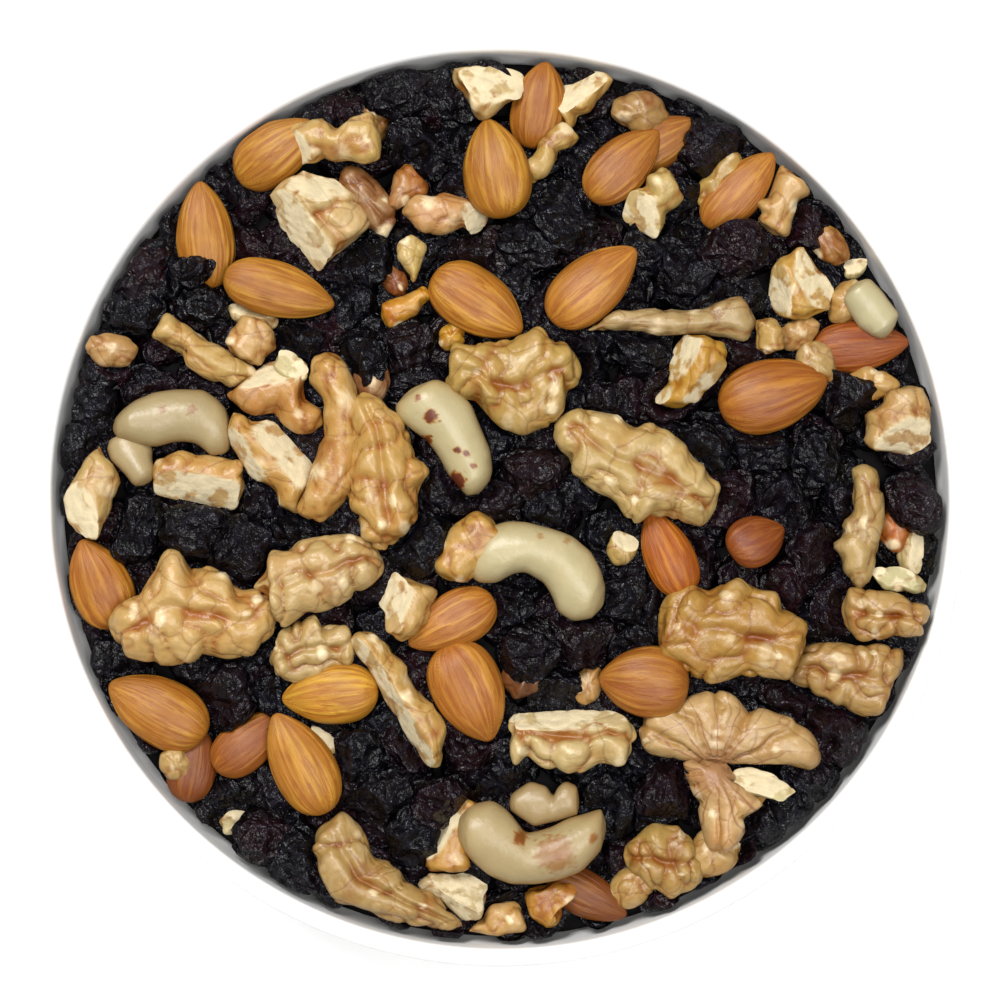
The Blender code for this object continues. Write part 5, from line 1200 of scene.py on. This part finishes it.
cashewLook = {
    "skin": (208, 190, 148), "spread": 8, "gain": (0.555, 0.54, 0.47), "roughness": 0.36,
    # the deep tint is painted shade on the lower sides
    "shadeColour": (240, 204, 148), "amber": (211, 145, 48), "brown": (146, 78, 62),
}


def spotted(row, points):  # a cashew's points and colour, and the brown spots seen on it
    brown = np.zeros(len(points))
    for x, y, size, strength in row["look"].get("spots", []):
        away = np.hypot(points[:, 0] - x, points[:, 1] - y) / size
        away = away * (1 + 0.9 * noiseAt(points / 0.9, row["seed"]))
        away = away + 0.25 * noiseAt(points / 0.4, row["seed"] + 1)
        brown = np.maximum(brown, strength * (1 - eased(away, 0.55, 1.05)))
    return {"points": points, "skin": skinColour(row, cashewLook, len(points)), "brown": brown}


def cashewShape(row, unit):
    x, y, z = unit.T
    length, width = row["length"], row["width"]
    seed = row["seed"] * 23
    offset = np.array((seed * 1.1, seed * 0.6, seed * 1.4)) % 71
    # painted shade: warmer and darker towards the lower side
    hollow = eased(-z, -0.75, 0.1)
    if row["sections"]:
        local, _ = inOutline(row, unit, 0.0)
        bumpy = local + unit * 0.4 * noiseAt(local / 8 + offset, seed)[:, None]
        return {**spotted(row, inPlace(row, bumpy)), "own": local + offset, "hollow": hollow}
    tube = min(width, heap["cashewTube"] * length)
    rise = max(width - tube, 0.2)
    chord = length - 0.75 * tube
    radius = (chord**2 / 4 + rise**2) / (2 * rise)
    halfBend = math.asin(min(1.0, chord / 2 / radius))
    angle = x * halfBend * (1 + 0.35 * tube / chord)
    full = (1 - np.abs(x) ** 2.5) ** 0.4 / np.maximum(np.sqrt(1 - x**2), 1e-3)
    full = np.where(np.abs(x) > 0.999, 1.0, full)
    swell = (1 + 0.20 * (1 - np.abs(x)) + 0.06 * x) * np.minimum(full, 1.4)
    out = radius + y * swell * tube / 2
    local = np.column_stack((out * np.sin(angle), out * np.cos(angle) - radius + rise / 2,
                             z * swell * row["thick"] / 2))
    local = local + unit * 0.45 * noiseAt(local / 8 + offset, seed)[:, None]
    return {**spotted(row, inPlace(row, local)), "own": local + offset, "hollow": hollow}


cashewSkin, tree, shader = newMaterial("cashewSkin")
own, skin, hollow, brown = attributesOf(tree, own="Vector", skin="Color", hollow="Fac", brown="Fac")
shadeColour = tinted(tree, skin, cashewLook["shadeColour"])
# painted shade on the lower sides
colour = mixColours(tree, remapped(tree, hollow, 0.0, 1.0, 0.0, 0.7), skin, shadeColour)
cloudy = useGroup(tree, mottle, Where=own, Colour=colour, Size=0.16, Dark=0.93, Light=1.05)
amber = tinted(tree, cloudy.outputs["Colour"], cashewLook["amber"])
spot = tinted(tree, cloudy.outputs["Colour"], cashewLook["brown"])
colour = mixColours(tree, remapped(tree, brown, 0.0, 0.7, 0.0, 1.0), cloudy.outputs["Colour"], amber)
colour = mixColours(tree, remapped(tree, brown, 0.6, 0.95, 0.0, 1.0), colour, spot)
tree.links.new(colour, shader.inputs["Base Color"])
shader.inputs["Roughness"].default_value = cashewLook["roughness"]
addBump(tree, shader, scaledNoise(tree, own, 0.5, values={"Detail": 3.0}), 0.0003, 0.5)

cashews = [row for row in laid if row["kind"] in ("cashew", "knob")]
cashewPiece = manyBodies("cashews", bodyCuts["cashews"], cashews, cashewShape, cashewSkin)
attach(cashewPiece, "root")
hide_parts("trail_mix")
print("nuts made")

# floor, light and camera

stage = {
    "floor": (0.93, 0.93, 0.93), "floorRoughness": 0.9, "floorReach": 3, "cameraHeight": 0.75,
    "mixHeight": 0.058, "discRadius": 0.100, "discPixels": 441.5, "halfPixels": 500, "sensor": 36,
    "sky": (0.96, 0.98, 1.0), "skyStrength": 0.35, "lamps": (1.0, 0.99, 0.98), "aim": (0, 0, 0.05),
}

shape = bmesh.new()
bmesh.ops.create_grid(shape, x_segments=1, y_segments=1, size=stage["floorReach"])
floorMesh = bpy.data.meshes.new("floor")
shape.to_mesh(floorMesh)
shape.free()
floor = bpy.data.objects.new("floor", floorMesh)
bpy.context.scene.collection.objects.link(floor)
floorMaterial, tree, shader = newMaterial("paleFloor")
shader.inputs["Base Color"].default_value = (*stage["floor"], 1)
shader.inputs["Roughness"].default_value = stage["floorRoughness"]
floorMesh.materials.append(floorMaterial)


def addLight(name, place, size, power):
    light = bpy.data.lights.new(name, "AREA")
    light.shape = "DISK"
    light.size = size
    light.energy = power
    light.color = stage["lamps"]
    obj = bpy.data.objects.new(name, light)
    obj.location = place
    obj.rotation_euler = (Vector(stage["aim"]) - Vector(place)).to_track_quat("-Z", "Y").to_euler()
    bpy.context.scene.collection.objects.link(obj)


addLight("window", (-0.4, 0.65, 1.1), 0.6, 16.0)
addLight("ceiling", (0.25, -0.2, 1.4), 1.0, 16.0)

world = bpy.data.worlds.new("room")
world.use_nodes = True
world.node_tree.nodes["Background"].inputs["Color"].default_value = (*stage["sky"], 1)
world.node_tree.nodes["Background"].inputs["Strength"].default_value = stage["skyStrength"]
bpy.context.scene.world = world

camera = bpy.data.cameras.new("overhead")
camera.sensor_fit = "HORIZONTAL"
camera.sensor_width = stage["sensor"]
distance = stage["cameraHeight"] - stage["mixHeight"]
frameWidth = 2 * stage["discRadius"] * stage["halfPixels"] / stage["discPixels"]
camera.lens = stage["sensor"] * distance / frameWidth
camera.clip_start = 0.01
cameraObject = bpy.data.objects.new("overhead", camera)
cameraObject.location = (0, 0, stage["cameraHeight"])
bpy.context.scene.collection.objects.link(cameraObject)
bpy.context.scene.camera = cameraObject
bpy.context.scene.view_settings.view_transform = "Standard"
